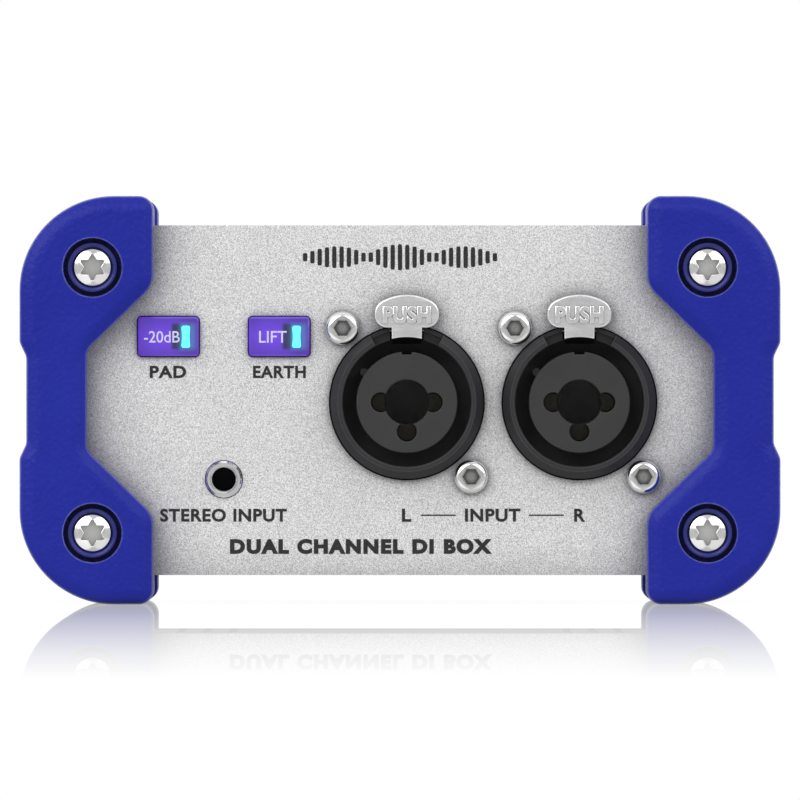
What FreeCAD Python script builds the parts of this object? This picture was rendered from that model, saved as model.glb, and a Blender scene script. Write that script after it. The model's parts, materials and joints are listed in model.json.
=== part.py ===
"""Direct injection box: a two-channel stage box that turns instrument and line inputs into balanced outputs.

Row frame, in millimetres: +Z up, the front panel faces -Y, X runs to the right as seen from the front.
The origin is on the surface that the box stands on, under the middle of the box.
Most parts are drawn about a local origin that is then placed: a connector about its own axis on the face
of its panel, with local -Y pointing out of the box.
"""

import FreeCAD
import Part
import Sketcher
import math
import os

V = FreeCAD.Vector
doc = FreeCAD.newDocument("direct_box")

# ---------------------------------------------------------------------------------------------- driving sizes
SIZES = [
    # overall
    ("overall_width", 117.0), ("overall_height", 62.8), ("overall_depth", 134.0), ("mid_height", 31.4),
    # extruded sleeve and end panels
    ("box_width", 106.0), ("box_height", 53.8), ("sleeve_wall", 2.0), ("panel_thickness", 2.5),
    ("panel_face", 62.0), ("box_corner", 1.5), ("boss_radius", 4.2), ("boss_hole", 1.5),
    ("groove_width", 1.2), ("groove_depth", 0.5), ("groove_first", 26.0), ("groove_pitch", 4.0),
    ("rib_depth", 1.6), ("rib_height", 1.1),
    # corner bumpers
    ("bumper_flange", 5.0), ("bumper_wrap", 34.0), ("horn_edge", 37.95), ("waist_inner", 48.15),
    ("waist_outer", 57.46), ("lobe_height", 17.6), ("waist_height", 7.7), ("step_high", 8.9),
    ("step_low", 6.7), ("bumper_arc", 14.5), ("horn_round", 2.2), ("diagonal_round", 4.0),
    ("waist_round", 2.5), ("step_round", 2.0), ("edge_draft", 0.3), ("edge_draft_depth", 1.75),
    ("edge_slope", 1.2), ("edge_slope_depth", 0.9), ("edge_blend", 3.0), ("bumper_rear_edge", 1.0),
    ("horn_cut_wide", 6.0), ("horn_cut_long", 6.0), ("screw_x", 47.29), ("screw_z", 20.42),
    ("well_radius", 4.53), ("well_depth", 3.2),
    # bumper ferrules and screws
    ("ferrule_radius", 3.75), ("ferrule_length", 4.2), ("ferrule_mouth", 3.5), ("ferrule_seat", 2.6),
    ("ferrule_cone", 3.5), ("ferrule_pocket", 2.97), ("ferrule_hole", 1.6), ("head_radius", 2.88),
    ("head_height", 1.75), ("head_side", 1.1), ("head_flat", 1.5), ("head_dome", 5.5),
    ("head_round", 0.15), ("screw_shank", 1.45), ("screw_length", 13.0), ("screw_tip", 0.6),
    ("star_tip", 2.2), ("star_valley", 1.28), ("star_round", 0.2), ("star_depth", 1.1),
    ("star_edge", 0.1), ("panel_screw_hole", 1.7),
    # combination input connectors
    ("combo_left_x", 1.05), ("combo_right_x", 27.6), ("combo_drop", 0.34), ("combo_hole", 12.0),
    ("bezel_radius", 11.75), ("bezel_face", 10.65), ("mouth_radius", 9.9), ("mouth_chamfer", 0.2),
    ("bezel_height", 2.6), ("bezel_wall", 1.3), ("barrel_radius", 12.4), ("barrel_end", 11.5),
    ("flange_width", 26.0), ("flange_height", 28.0), ("flange_thickness", 2.5), ("flange_corner", 2.5),
    ("notch_half_angle", 29.0), ("notch_radius", 11.2), ("notch_floor", 0.6), ("notch_rim", 1.1),
    ("fixing_x", 9.9), ("fixing_z", 11.43), ("fixing_head", 2.6), ("fixing_head_height", 1.7),
    ("fixing_head_round", 1.0), ("fixing_length", 6.5), ("fixing_key", 1.33), ("fixing_key_depth", 1.0),
    ("fixing_edge", 0.2), ("fixing_hole", 1.6),
    ("insert_radius", 7.8), ("insert_drop", 1.0), ("insert_disc_end", 14.0), ("socket_block_end", 30.0),
    ("socket_block_width", 18.0), ("jack_mouth", 3.48), ("jack_bore", 3.3), ("jack_bore_end", 28.6),
    ("pin_socket", 1.5), ("pin_side", 4.0), ("pin_below", 4.5), ("pin_socket_end", 10.5),
    ("keyway_width", 1.5), ("keyway_depth", 0.4), ("insert_chamfer", 0.15), ("polarity_rib", 0.6),
    ("rib_at", 8.05), ("rib_angle", 144.7), ("rib_start", 0.5),
    ("contact_outer", 1.35), ("contact_inner", 1.2), ("contact_front", 5.5), ("contact_floor", 1.0),
    # release levers: a steel tab in front and a black latch arm behind
    ("slot_half_width", 2.6), ("slot_floor", 9.2), ("slot_top", 12.6), ("slot_end", 10.3),
    ("neck_width", 4.7), ("neck_curve", 10.0), ("neck_low", 9.6), ("tongue_top", 10.65), ("tongue_end", 2.4),
    ("tab_front", 2.4), ("tab_thickness", 0.9), ("tab_half_width", 4.94), ("tab_bottom", 11.46),
    ("tab_top", 16.57), ("tab_crown", 7.9), ("tab_low_round", 1.9), ("tab_high_round", 2.2),
    ("tab_edge", 0.25), ("tab_bend", 0.6), ("arm_width", 4.4), ("arm_bottom", 9.95), ("lug_start", 1.2),
    ("lug_top", 10.9), ("tooth_tip", 9.0), ("tooth_lead", 3.0), ("tooth_end", 3.4), ("pivot_depth", 7.0),
    ("pivot_height", 11.1), ("pivot_boss", 1.1), ("pivot_hole", 0.55), ("pivot_pin", 0.5),
    ("pivot_pin_length", 8.0), ("fork_half_width", 1.25), ("fork_start", 5.7), ("lever_coil", 0.85),
    ("lever_wire", 0.18), ("lever_coil_pitch", 0.5), ("lever_coil_turns", 3.3), ("lever_leg", 2.6),
    ("lever_play", 0.02),
    # push buttons
    ("pad_x", -35.63), ("earth_x", -18.58), ("button_rise", 9.8), ("window_width", 9.7),
    ("window_height", 6.4), ("window_corner", 0.75), ("cap_width", 9.4), ("cap_height", 6.1),
    ("cap_corner", 0.6),
    ("cap_proud", 1.0), ("cap_depth", 6.0), ("cap_wall", 0.8), ("cap_face", 1.2), ("cap_bevel", 0.3),
    ("light_x", 2.6), ("light_width", 1.58), ("light_height", 3.54), ("light_end", 3.7),
    ("plunger_radius", 1.1), ("plunger_end", 10.5), ("switch_front", 7.1), ("switch_back", 15.1),
    ("switch_width", 8.8), ("switch_height", 6.8), ("plunger_hole", 1.2), ("plunger_hole_end", 13.5),
    ("led_height", 1.0), ("spring_radius", 1.42), ("spring_wire", 0.2), ("spring_turns", 6.0),
    ("spring_play", 0.02),
    # small stereo jack
    ("minijack_x", -27.1), ("minijack_drop", 12.17), ("minijack_ring", 2.83), ("minijack_bore", 1.85),
    ("minijack_hole", 2.95), ("minijack_proud", 0.5), ("minijack_width", 11.0), ("minijack_rise", 3.3),
    ("minijack_depth", 12.0), ("minijack_bore_end", 13.0), ("minijack_bevel", 0.3),
    ("reed_width", 1.6), ("reed_length", 5.0), ("reed_thickness", 0.3), ("reed_pitch", 3.5),
    ("reed_depth", 5.0),
    # boards
    ("board_thickness", 1.6), ("board_drop", 14.5), ("board_width", 101.2), ("board_length", 113.0),
    ("switch_board_left", -43.0), ("switch_board_width", 31.0), ("switch_board_height", 30.4),
    ("header_length", 20.0), ("header_depth", 2.5), ("header_height", 5.0), ("header_inset", 5.5),
    ("tail_radius", 0.45), ("tail_below", 1.2), ("combo_tail_pitch", 3.0), ("combo_tail_depth", 17.0),
    ("combo_tail_stagger", 5.0), ("minijack_tail_depth", 11.0), ("link_tail_pitch", 4.0),
    ("link_tail_depth", 20.0),
    ("core_tail_share", 0.4),
    # rear connectors
    ("output_x", 14.0), ("output_width", 26.0), ("output_height", 31.0), ("output_flange", 2.0),
    ("output_rim", 2.8), ("output_rim_radius", 10.4), ("output_barrel", 11.8), ("output_cup", 8.15),
    ("output_tube_end", 14.0), ("output_floor", 11.0), ("output_pin", 1.2), ("output_pin_tip", 0.8),
    ("output_fixing_x", 9.5), ("output_fixing_z", 12.0), ("output_hole", 12.0), ("output_bevel", 0.35),
    ("output_land", 1.0), ("output_pin_point", 0.5), ("output_pin_taper", 0.8), ("output_tail", 5.0),
    ("output_fixing_length", 8.0),
    ("link_x", 38.0), ("link_bushing", 4.7), ("link_bore", 3.25), ("link_proud", 4.0), ("link_hole", 4.8),
    ("link_width", 15.0), ("link_rise", 8.0), ("link_depth", 26.0), ("link_bore_end", 22.0),
    ("link_nut", 6.6), ("link_nut_height", 2.2), ("link_washer", 6.9), ("link_washer_height", 0.6),
    ("thread_play", 0.02), ("washer_play", 0.1), ("link_reed_width", 1.8), ("link_reed_length", 6.0),
    ("link_reed_thickness", 0.4), ("link_reed_pitch", 4.1), ("link_reed_depth", 8.0), ("link_reed_step", 3.0),
    # parts on the main board
    ("core_width", 24.0), ("core_depth", 12.0), ("core_height", 20.0), ("core_leg", 7.0),
    ("core_window", 4.5), ("core_window_height", 12.0), ("coil_depth", 19.0), ("transformer_y", 10.0),
    ("can_radius", 3.15), ("can_height", 9.0), ("can_x", -42.0), ("can_y", -34.0), ("can_pitch", 9.0),
    ("can_row_pitch", 10.0), ("film_length", 7.2), ("film_thickness", 2.6), ("film_height", 6.5),
    ("film_x", 34.0), ("film_y", -26.0), ("film_pitch", 5.0), ("chip_width", 6.4), ("chip_length", 9.6),
    ("chip_height", 3.4), ("chip_x", -42.0), ("chip_y", -12.0), ("chip_pitch", 14.0),
    ("resistor_radius", 1.1), ("resistor_length", 6.0), ("resistor_x", 6.0), ("resistor_y", -26.0),
    ("resistor_pitch", 3.4),
    # how far a cutting shape runs past what it cuts, and how far joined shapes reach into each other
    ("overcut", 1.0), ("overlap", 0.2), ("guide_play", 0.1), ("seat_play", 0.03), ("coil_play", 0.1),
]

dim = doc.addObject("Spreadsheet::Sheet", "dim")
dim.Label = "Sizes in millimetres and degrees"
for row, (alias, size) in enumerate(SIZES, start=1):
    dim.set(f"A{row}", alias)
    dim.set(f"B{row}", str(size))
    dim.setAlias(f"B{row}", alias)
doc.recompute()


def number(expression):
    """The value of an expression over the sheet's cells."""
    return float(dim.evalExpression(str(expression)))


def bind(thing, settings):
    """Ties each property of thing to an expression over the sheet."""
    for prop, expression in settings.items():
        thing.setExpression(prop, str(expression))
    return thing


def place(thing, x="0", y="0", z="0", turn=None):
    """Puts thing at an expression-driven place, turned about its local origin."""
    if turn is not None:
        thing.Placement = FreeCAD.Placement(V(0, 0, 0), turn)
    return bind(thing, {"Placement.Base.x": x, "Placement.Base.y": y, "Placement.Base.z": z})


ALONG_Y = FreeCAD.Rotation(V(1, 0, 0), -90)
ALONG_X = FreeCAD.Rotation(V(0, 1, 0), 90)
UPRIGHT = FreeCAD.Rotation()
TURNED = {"X": FreeCAD.Rotation(V(1, 0, 0), 180), "Y": FreeCAD.Rotation(V(0, 1, 0), 180),
          "Z": FreeCAD.Rotation(V(0, 0, 1), 180)}
nodes = {}


def node(name, thing):
    """Marks thing as the sub-part called name."""
    thing.Label = name
    nodes[name] = thing
    return thing


# --------------------------------------------------------------------------------------- primitives, booleans
def cylinder(name, radius, length, x="0", y="0", z="0", turn=ALONG_Y):
    thing = doc.addObject("Part::Cylinder", name)
    bind(thing, {"Radius": radius, "Height": length})
    return place(thing, x, y, z, turn)


def block(name, size, corner):
    """A box from its size and its lowest corner, each three expressions."""
    thing = doc.addObject("Part::Box", name)
    bind(thing, {"Length": size[0], "Width": size[1], "Height": size[2]})
    return place(thing, *corner)


def fuse(name, parts):
    thing = doc.addObject("Part::MultiFuse", name)
    thing.Shapes = parts
    return thing


def cut(name, base, tools):
    thing = doc.addObject("Part::Cut", name)
    thing.Base = base
    thing.Tool = tools[0] if len(tools) == 1 else fuse(name + "_tools", tools)
    return thing


def group(name, parts):
    """Separate solids that share one node."""
    thing = doc.addObject("Part::Compound", name)
    thing.Links = parts
    return thing


def copy_of(master, name, x="0", y="0", z="0", turn=UPRIGHT):
    """Another of the same part, placed by expressions."""
    link = doc.addObject("App::Link", name)
    link.LinkedObject = master
    link.LinkTransform = True
    link.LinkPlacement = FreeCAD.Placement(V(0, 0, 0), turn)
    bind(link, {"LinkPlacement.Base.x": x, "LinkPlacement.Base.y": y, "LinkPlacement.Base.z": z})
    return link


# ------------------------------------------------------------------------------------------------ PartDesign
def new_body(name):
    return doc.addObject("PartDesign::Body", name)


def new_sketch(body, name, role, offset="0"):
    """A sketch on one of the body's own origin planes. offset moves it along the plane's normal."""
    sketch = body.newObject("Sketcher::SketchObject", name)
    plane = next(f for f in body.Origin.OriginFeatures if f.Role == role)
    sketch.AttachmentSupport = [(plane, "")]
    sketch.MapMode = "FlatFace"
    sketch.setExpression("AttachmentOffset.Base.z", offset)
    return sketch


def hold(sketch, kind, expression, *where):
    """One driving dimension of a sketch, tied to the sheet."""
    index = sketch.addConstraint(Sketcher.Constraint(kind, *where, number(expression)))
    sketch.setExpression(f"Constraints[{index}]", str(expression))


def polygon(sketch, points):
    """A closed outline whose corners are pairs of expressions."""
    spots = [V(number(x), number(y), 0) for x, y in points]
    first = sketch.GeometryCount
    last = first + len(points) - 1
    for i, spot in enumerate(spots):
        sketch.addGeometry(Part.LineSegment(spot, spots[(i + 1) % len(spots)]), False)
    for line in range(first, last + 1):
        following = line + 1 if line < last else first
        sketch.addConstraint(Sketcher.Constraint("Coincident", line, 2, following, 1))
    for line, (x, y) in enumerate(points, start=first):
        hold(sketch, "DistanceX", x, -1, 1, line, 1)
        hold(sketch, "DistanceY", y, -1, 1, line, 1)
    return sketch


def rectangle(sketch, low_x, low_y, high_x, high_y):
    return polygon(sketch, [(low_x, low_y), (high_x, low_y), (high_x, high_y), (low_x, high_y)])


def centred(sketch, width, height, x="0", y="0"):
    return rectangle(sketch, f"{x} - {width} / 2", f"{y} - {height} / 2",
                     f"{x} + {width} / 2", f"{y} + {height} / 2")


def hexagon(circumradius):
    """The corners of a hexagon with two of its sides level."""
    return [(f"{circumradius} * cos({60 * i})", f"{circumradius} * sin({60 * i})") for i in range(HEXAGON)]


def circle(sketch, radius, x="0", y="0"):
    spot = V(number(x), number(y), 0)
    ring = sketch.addGeometry(Part.Circle(spot, V(0, 0, 1), number(radius)), False)
    hold(sketch, "DistanceX", x, -1, 1, ring, 3)
    hold(sketch, "DistanceY", y, -1, 1, ring, 3)
    hold(sketch, "Radius", radius, ring)
    return sketch


def front_sketch(body, name, depth="0"):
    """A sketch seen from the front, in the plane Y = depth: its x is X and its y is Z."""
    return new_sketch(body, name, "XZ_Plane", f"-({depth})")


def pad(body, sketch, length):
    """Grows material from a front sketch towards +Y."""
    feature = body.newObject("PartDesign::Pad", sketch.Name + "_pad")
    feature.Profile = sketch
    feature.Reversed = True
    return bind(feature, {"Length": length})


def across(body, name, width, points):
    """Grows material of that width, centred on X 0, from an outline of Y and Z pairs."""
    sketch = new_sketch(body, name, "YZ_Plane")
    polygon(sketch, points)
    feature = body.newObject("PartDesign::Pad", name + "_pad")
    feature.Profile = sketch
    feature.Midplane = True
    return bind(feature, {"Length": width})


def pocket(body, sketch, length, backwards=False):
    """Removes material, from a front sketch towards +Y, and makes sure that some went."""
    doc.recompute()
    before = body.Shape.Volume
    feature = body.newObject("PartDesign::Pocket", sketch.Name + "_pocket")
    feature.Profile = sketch
    feature.Reversed = backwards
    bind(feature, {"Length": length})
    doc.recompute()
    if body.Shape.Volume > before - 1e-3:
        raise RuntimeError(f"{sketch.Name} cuts nothing")
    return feature


def turned(name, outline):
    """A body turned about its local Y axis from an outline of radius and Y pairs."""
    body = new_body(name)
    sketch = new_sketch(body, name + "_profile", "XY_Plane")
    polygon(sketch, outline)
    feature = body.newObject("PartDesign::Revolution", name + "_turn")
    feature.Profile = sketch
    feature.ReferenceAxis = (sketch, ["V_Axis"])
    feature.Angle = 360
    return body


def along_y(edge):
    box = edge.BoundBox
    return box.YLength > 1e-6 and box.XLength < 1e-6 and box.ZLength < 1e-6


def round_edges(body, name, radius, test, kind="Fillet"):
    """Rounds or chamfers the edges of the body's last feature that pass the test."""
    doc.recompute()
    base = body.Tip
    found = [f"Edge{i}" for i, edge in enumerate(base.Shape.Edges, start=1) if test(edge)]
    if not found:
        raise RuntimeError(f"{name} finds no edge")
    feature = body.newObject(f"PartDesign::{kind}", name)
    feature.Base = (base, found)
    return bind(feature, {"Radius" if kind == "Fillet" else "Size": radius})


def slope_edges(body, name, inward, depth, test):
    """Chamfers the front edges that pass the test: inward along the front face and depth down the side."""
    feature = round_edges(body, name, inward, test, "Chamfer")
    feature.ChamferType = "Two distances"
    return bind(feature, {"Size2": depth})


def near(a, b):
    return abs(a - b) < 1e-4


def corner_at(spots):
    """Tests an edge along Y for standing at one of the given X and Z pairs of expressions."""
    places = [(number(x), number(z)) for x, z in spots]

    def test(edge):
        box = edge.BoundBox
        return along_y(edge) and any(near(box.XMin, x) and near(box.ZMin, z) for x, z in places)
    return test


def in_plane_y(depth):
    """Tests an edge for lying wholly in the plane Y = depth."""
    level = number(depth)
    return lambda edge: near(edge.BoundBox.YMin, level) and near(edge.BoundBox.YMax, level)


STAR_POINTS = 6
HEXAGON = 6
def rim_within(depth, radius):
    """Tests an edge for running round the rim of a recess: in front of Y = depth and within that radius."""
    level, limit = number(depth) + 1e-3, number(radius) + 1e-3

    def test(edge):
        ends = [math.hypot(p.X, p.Z) for p in edge.Vertexes]
        outside = edge.BoundBox.YMax < level and not along_y(edge)
        return outside and len(ends) == 2 and max(ends) < limit
    return test


HALF_W = "dim.box_width / 2"
HALF_H = "dim.box_height / 2"
SIGNS = (("-", "left"), ("", "right"))
CORNERS = [(sx, sz) for sx in ("-", "") for sz in ("-", "")]


# ------------------------------------------------------------------------------------------------------ case
def make_sleeve():
    """The extruded aluminium sleeve: a tube with screw bosses, board guides and shallow outside grooves."""
    body = new_body("sleeve")
    start = "-(dim.panel_face - dim.panel_thickness)"
    length = "2 * (dim.panel_face - dim.panel_thickness)"
    tube = front_sketch(body, "sleeve_tube", start)
    centred(tube, "dim.box_width", "dim.box_height")
    centred(tube, "(dim.box_width - 2 * dim.sleeve_wall)", "(dim.box_height - 2 * dim.sleeve_wall)")
    pad(body, tube, length)
    bosses = front_sketch(body, "sleeve_bosses", start)
    for sx, sz in CORNERS:
        circle(bosses, "dim.boss_radius", f"{sx}dim.screw_x", f"{sz}dim.screw_z")
    pad(body, bosses, length)
    guides = front_sketch(body, "sleeve_guides", start)
    wall = "(dim.box_width / 2 - dim.sleeve_wall)"
    above = "(-dim.board_drop + dim.guide_play)"
    below = "(-dim.board_drop - dim.board_thickness - dim.guide_play)"
    for low, high in ((above, f"{above} + dim.rib_height"), (f"{below} - dim.rib_height", below)):
        rectangle(guides, f"-({wall} + dim.overlap)", low, f"-({wall} - dim.rib_depth)", high)
        rectangle(guides, f"{wall} - dim.rib_depth", low, f"{wall} + dim.overlap", high)
    pad(body, guides, length)
    holes = front_sketch(body, "sleeve_holes", start)
    for sx, sz in CORNERS:
        circle(holes, "dim.boss_hole", f"{sx}dim.screw_x", f"{sz}dim.screw_z")
    pocket(body, holes, length)
    grooves = front_sketch(body, "sleeve_grooves", start)
    for step in range(3):
        middle = f"(dim.groove_first + {step} * dim.groove_pitch)"
        for sx in ("-", ""):
            low, high = sorted((f"{sx}({middle} - dim.groove_width / 2)",
                                f"{sx}({middle} + dim.groove_width / 2)"), key=number)
            rectangle(grooves, low, f"{HALF_H} - dim.groove_depth", high, f"{HALF_H} + dim.overcut")
            rectangle(grooves, low, f"-({HALF_H} + dim.overcut)", high, f"-({HALF_H} - dim.groove_depth)")
    pocket(body, grooves, length)
    round_edges(body, "sleeve_corners", "dim.box_corner",
                corner_at([(f"{sx}{HALF_W}", f"{sz}{HALF_H}") for sx, sz in CORNERS]))
    return node("chassis_sleeve", place(body, z="dim.mid_height"))


def panel_blank(name):
    """An end panel with its four corner screw holes. Its outside face is at local Y 0."""
    body = new_body(name)
    plate = front_sketch(body, name + "_plate")
    centred(plate, "dim.box_width", "dim.box_height")
    pad(body, plate, "dim.panel_thickness")
    round_edges(body, name + "_corners", "dim.box_corner",
                corner_at([(f"{sx}{HALF_W}", f"{sz}{HALF_H}") for sx, sz in CORNERS]))
    return body


def make_front_panel():
    body = panel_blank("front_plate")
    holes = front_sketch(body, "front_holes")
    for sx, sz in CORNERS:
        circle(holes, "dim.panel_screw_hole", f"{sx}dim.screw_x", f"{sz}dim.screw_z")
    for x in ("dim.combo_left_x", "dim.combo_right_x"):
        circle(holes, "dim.combo_hole", x, "-dim.combo_drop")
        circle(holes, "dim.fixing_hole", f"{x} - dim.fixing_x", "dim.fixing_z - dim.combo_drop")
        circle(holes, "dim.fixing_hole", f"{x} + dim.fixing_x", "-dim.fixing_z - dim.combo_drop")
    windows = []
    for x in ("dim.pad_x", "dim.earth_x"):
        centred(holes, "dim.window_width", "dim.window_height", x, "dim.button_rise")
        windows += [(f"{x} {sx or '+'} dim.window_width / 2",
                     f"dim.button_rise {sz or '+'} dim.window_height / 2") for sx, sz in CORNERS]
    circle(holes, "dim.minijack_hole", "dim.minijack_x", "-dim.minijack_drop")
    pocket(body, holes, "dim.panel_thickness")
    round_edges(body, "window_corners", "dim.window_corner", corner_at(windows))
    return node("front_panel", place(body, y="-dim.panel_face", z="dim.mid_height"))


def make_rear_panel():
    """Drawn facing -Y like the front panel, and turned about Z to face the rear."""
    body = panel_blank("rear_plate")
    holes = front_sketch(body, "rear_holes")
    for sx, sz in CORNERS:
        circle(holes, "dim.panel_screw_hole", f"{sx}dim.screw_x", f"{sz}dim.screw_z")
    for sx in ("-", ""):
        x = f"{sx}dim.output_x"
        circle(holes, "dim.output_hole", x)
        circle(holes, "dim.fixing_hole", f"{x} - dim.output_fixing_x", "dim.output_fixing_z")
        circle(holes, "dim.fixing_hole", f"{x} + dim.output_fixing_x", "-dim.output_fixing_z")
        circle(holes, "dim.link_hole", f"{sx}dim.link_x")
    pocket(body, holes, "dim.panel_thickness")
    return node("rear_panel", place(body, y="dim.panel_face", z="dim.mid_height", turn=TURNED["Z"]))


# --------------------------------------------------------------------------------------------------- bumpers
def bumper_master():
    """One rubber corner guard, drawn as the front left one about the middle of the panel's face.

    A flange lies over the panel's edge and a wrap covers the sleeve's side and its top and bottom corners.
    """
    body = new_body("bumper")
    edge, top = "dim.overall_width / 2", "dim.overall_height / 2"
    outline = front_sketch(body, "bumper_outline", "-dim.bumper_flange")
    upper = [("-dim.horn_edge", top), (f"-{edge}", top), (f"-{edge}", "dim.step_high"),
             ("-dim.waist_outer", "dim.step_low")]
    inner = [("-dim.waist_inner", "dim.waist_height"), ("-dim.horn_edge", "dim.lobe_height")]

    def mirrored(points):
        return [(x, f"-({z})") for x, z in reversed(points)]

    polygon(outline, upper + mirrored(upper) + mirrored(inner) + inner)
    pad(body, outline, "dim.bumper_flange + dim.bumper_wrap")
    for name, radius, spots in (
        ("bumper_arcs", "dim.bumper_arc", [upper[1]]),
        ("bumper_horns", "dim.horn_round", [upper[0]]),
        ("bumper_steps", "dim.step_round", upper[2:]),
        ("bumper_waist", "dim.waist_round", [inner[0]]),
        ("bumper_diagonals", "dim.diagonal_round", [inner[1]]),
    ):
        round_edges(body, name, radius, corner_at(spots + mirrored(spots)))
    face = in_plane_y("-dim.bumper_flange")
    slope_edges(body, "bumper_draft", "dim.edge_draft", "dim.edge_draft_depth", face)
    slope_edges(body, "bumper_slope", "dim.edge_slope", "dim.edge_slope_depth", face)
    round_edges(body, "bumper_blend", "dim.edge_blend", face)
    round_edges(body, "bumper_rear_edge", "dim.bumper_rear_edge", in_plane_y("dim.bumper_wrap"))
    seat = front_sketch(body, "bumper_seat")
    rectangle(seat, f"-{HALF_W}", f"-{HALF_H}", "0", HALF_H)
    pocket(body, seat, "dim.bumper_wrap")
    wells = front_sketch(body, "bumper_wells", "-dim.bumper_flange")
    holes = front_sketch(body, "bumper_holes", "-dim.bumper_flange")
    for sz in ("-", ""):
        circle(wells, "dim.well_radius", "-dim.screw_x", f"{sz}dim.screw_z")
        circle(holes, "dim.ferrule_radius + dim.seat_play", "-dim.screw_x", f"{sz}dim.screw_z")
    pocket(body, wells, "dim.well_depth")
    pocket(body, holes, "dim.bumper_flange")
    horns = new_sketch(body, "bumper_horn_cut", "XY_Plane", f"-({top}) - dim.overcut")
    inside, behind = "-dim.horn_edge + dim.overcut", "dim.bumper_wrap + dim.overcut"
    polygon(horns, [(inside, behind), ("-dim.horn_edge - dim.horn_cut_wide", behind),
                    ("-dim.horn_edge - dim.horn_cut_wide", "dim.bumper_wrap"),
                    ("-dim.horn_edge", "dim.bumper_wrap - dim.horn_cut_long"),
                    (inside, "dim.bumper_wrap - dim.horn_cut_long")])
    pocket(body, horns, "dim.overall_height + 2 * dim.overcut", backwards=True)
    return body


def make_bumpers():
    master = bumper_master()
    for name, face, turn in (("bumper_front_left", "-dim.panel_face", UPRIGHT),
                             ("bumper_front_right", "-dim.panel_face", TURNED["Y"]),
                             ("bumper_rear_left", "dim.panel_face", TURNED["X"]),
                             ("bumper_rear_right", "dim.panel_face", TURNED["Z"])):
        node(name, copy_of(master, name, y=face, z="dim.mid_height", turn=turn))


def at_bumper_screws(master, name, depth):
    """Eight of master, one at each bumper screw, at depth outside the panel's face."""
    copies = []
    for end, turn in (("-", UPRIGHT), ("", TURNED["Z"])):
        for sx, sz in CORNERS:
            copies.append(copy_of(master, f"{name}_{len(copies) + 1}", f"{sx}dim.screw_x",
                                  f"{end}(dim.panel_face + {depth})",
                                  f"dim.mid_height {sz or '+'} dim.screw_z", turn))
    return node(name, group(name, copies))


def make_bumper_fixings():
    ferrule = turned("ferrule", [
        ("dim.ferrule_hole", "0"), ("dim.ferrule_radius", "0"),
        ("dim.ferrule_radius", "-dim.ferrule_length"), ("dim.ferrule_mouth", "-dim.ferrule_length"),
        ("dim.ferrule_pocket", "-dim.ferrule_cone"), ("dim.ferrule_pocket", "-dim.ferrule_seat"),
        ("dim.ferrule_hole", "-dim.ferrule_seat")])
    at_bumper_screws(ferrule, "bumper_ferrules", "0")
    screw = turned("star_screw", [
        ("0", "-dim.head_height"), ("dim.head_flat", "-dim.head_height"),
        ("dim.head_radius", "-dim.head_side"), ("dim.head_radius", "0"),
        ("dim.screw_shank", "0"), ("dim.screw_shank", "dim.screw_length - dim.screw_tip"),
        ("dim.screw_shank - dim.screw_tip", "dim.screw_length"), ("0", "dim.screw_length")])
    round_edges(screw, "star_screw_crown", "dim.head_dome", in_plane_y("-dim.head_height"))
    round_edges(screw, "star_screw_side", "dim.head_round", in_plane_y("-dim.head_side"))
    recess = front_sketch(screw, "star_recess", "-dim.head_height")
    points = []
    for step in range(2 * STAR_POINTS):
        radius = "dim.star_valley" if step % 2 == 0 else "dim.star_tip"
        angle = step * 180 / STAR_POINTS
        points.append((f"{radius} * cos({angle})", f"{radius} * sin({angle})"))
    polygon(recess, points)
    pocket(screw, recess, "dim.star_depth")
    round_edges(screw, "star_tips", "dim.star_round", corner_at(points[1::2]))
    round_edges(screw, "star_rim", "dim.star_edge", rim_within("-dim.head_side", "dim.star_tip"))
    at_bumper_screws(screw, "bumper_screws", "dim.ferrule_seat")


# ----------------------------------------------------------------------------------------- input connectors
COMBOS = (("left", "dim.combo_left_x"), ("right", "dim.combo_right_x"))
COMBO_Z = "dim.mid_height - dim.combo_drop"
THREE_PINS = (("-dim.pin_side", "0"), ("dim.pin_side", "0"), ("0", "-dim.pin_below"))


def at_combos(master, name):
    """One of master at each input connector, as a node for each side."""
    for side, x in COMBOS:
        label = f"{name}_{side}"
        node(label, copy_of(master, label, x, "-dim.panel_face", COMBO_Z))


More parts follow.
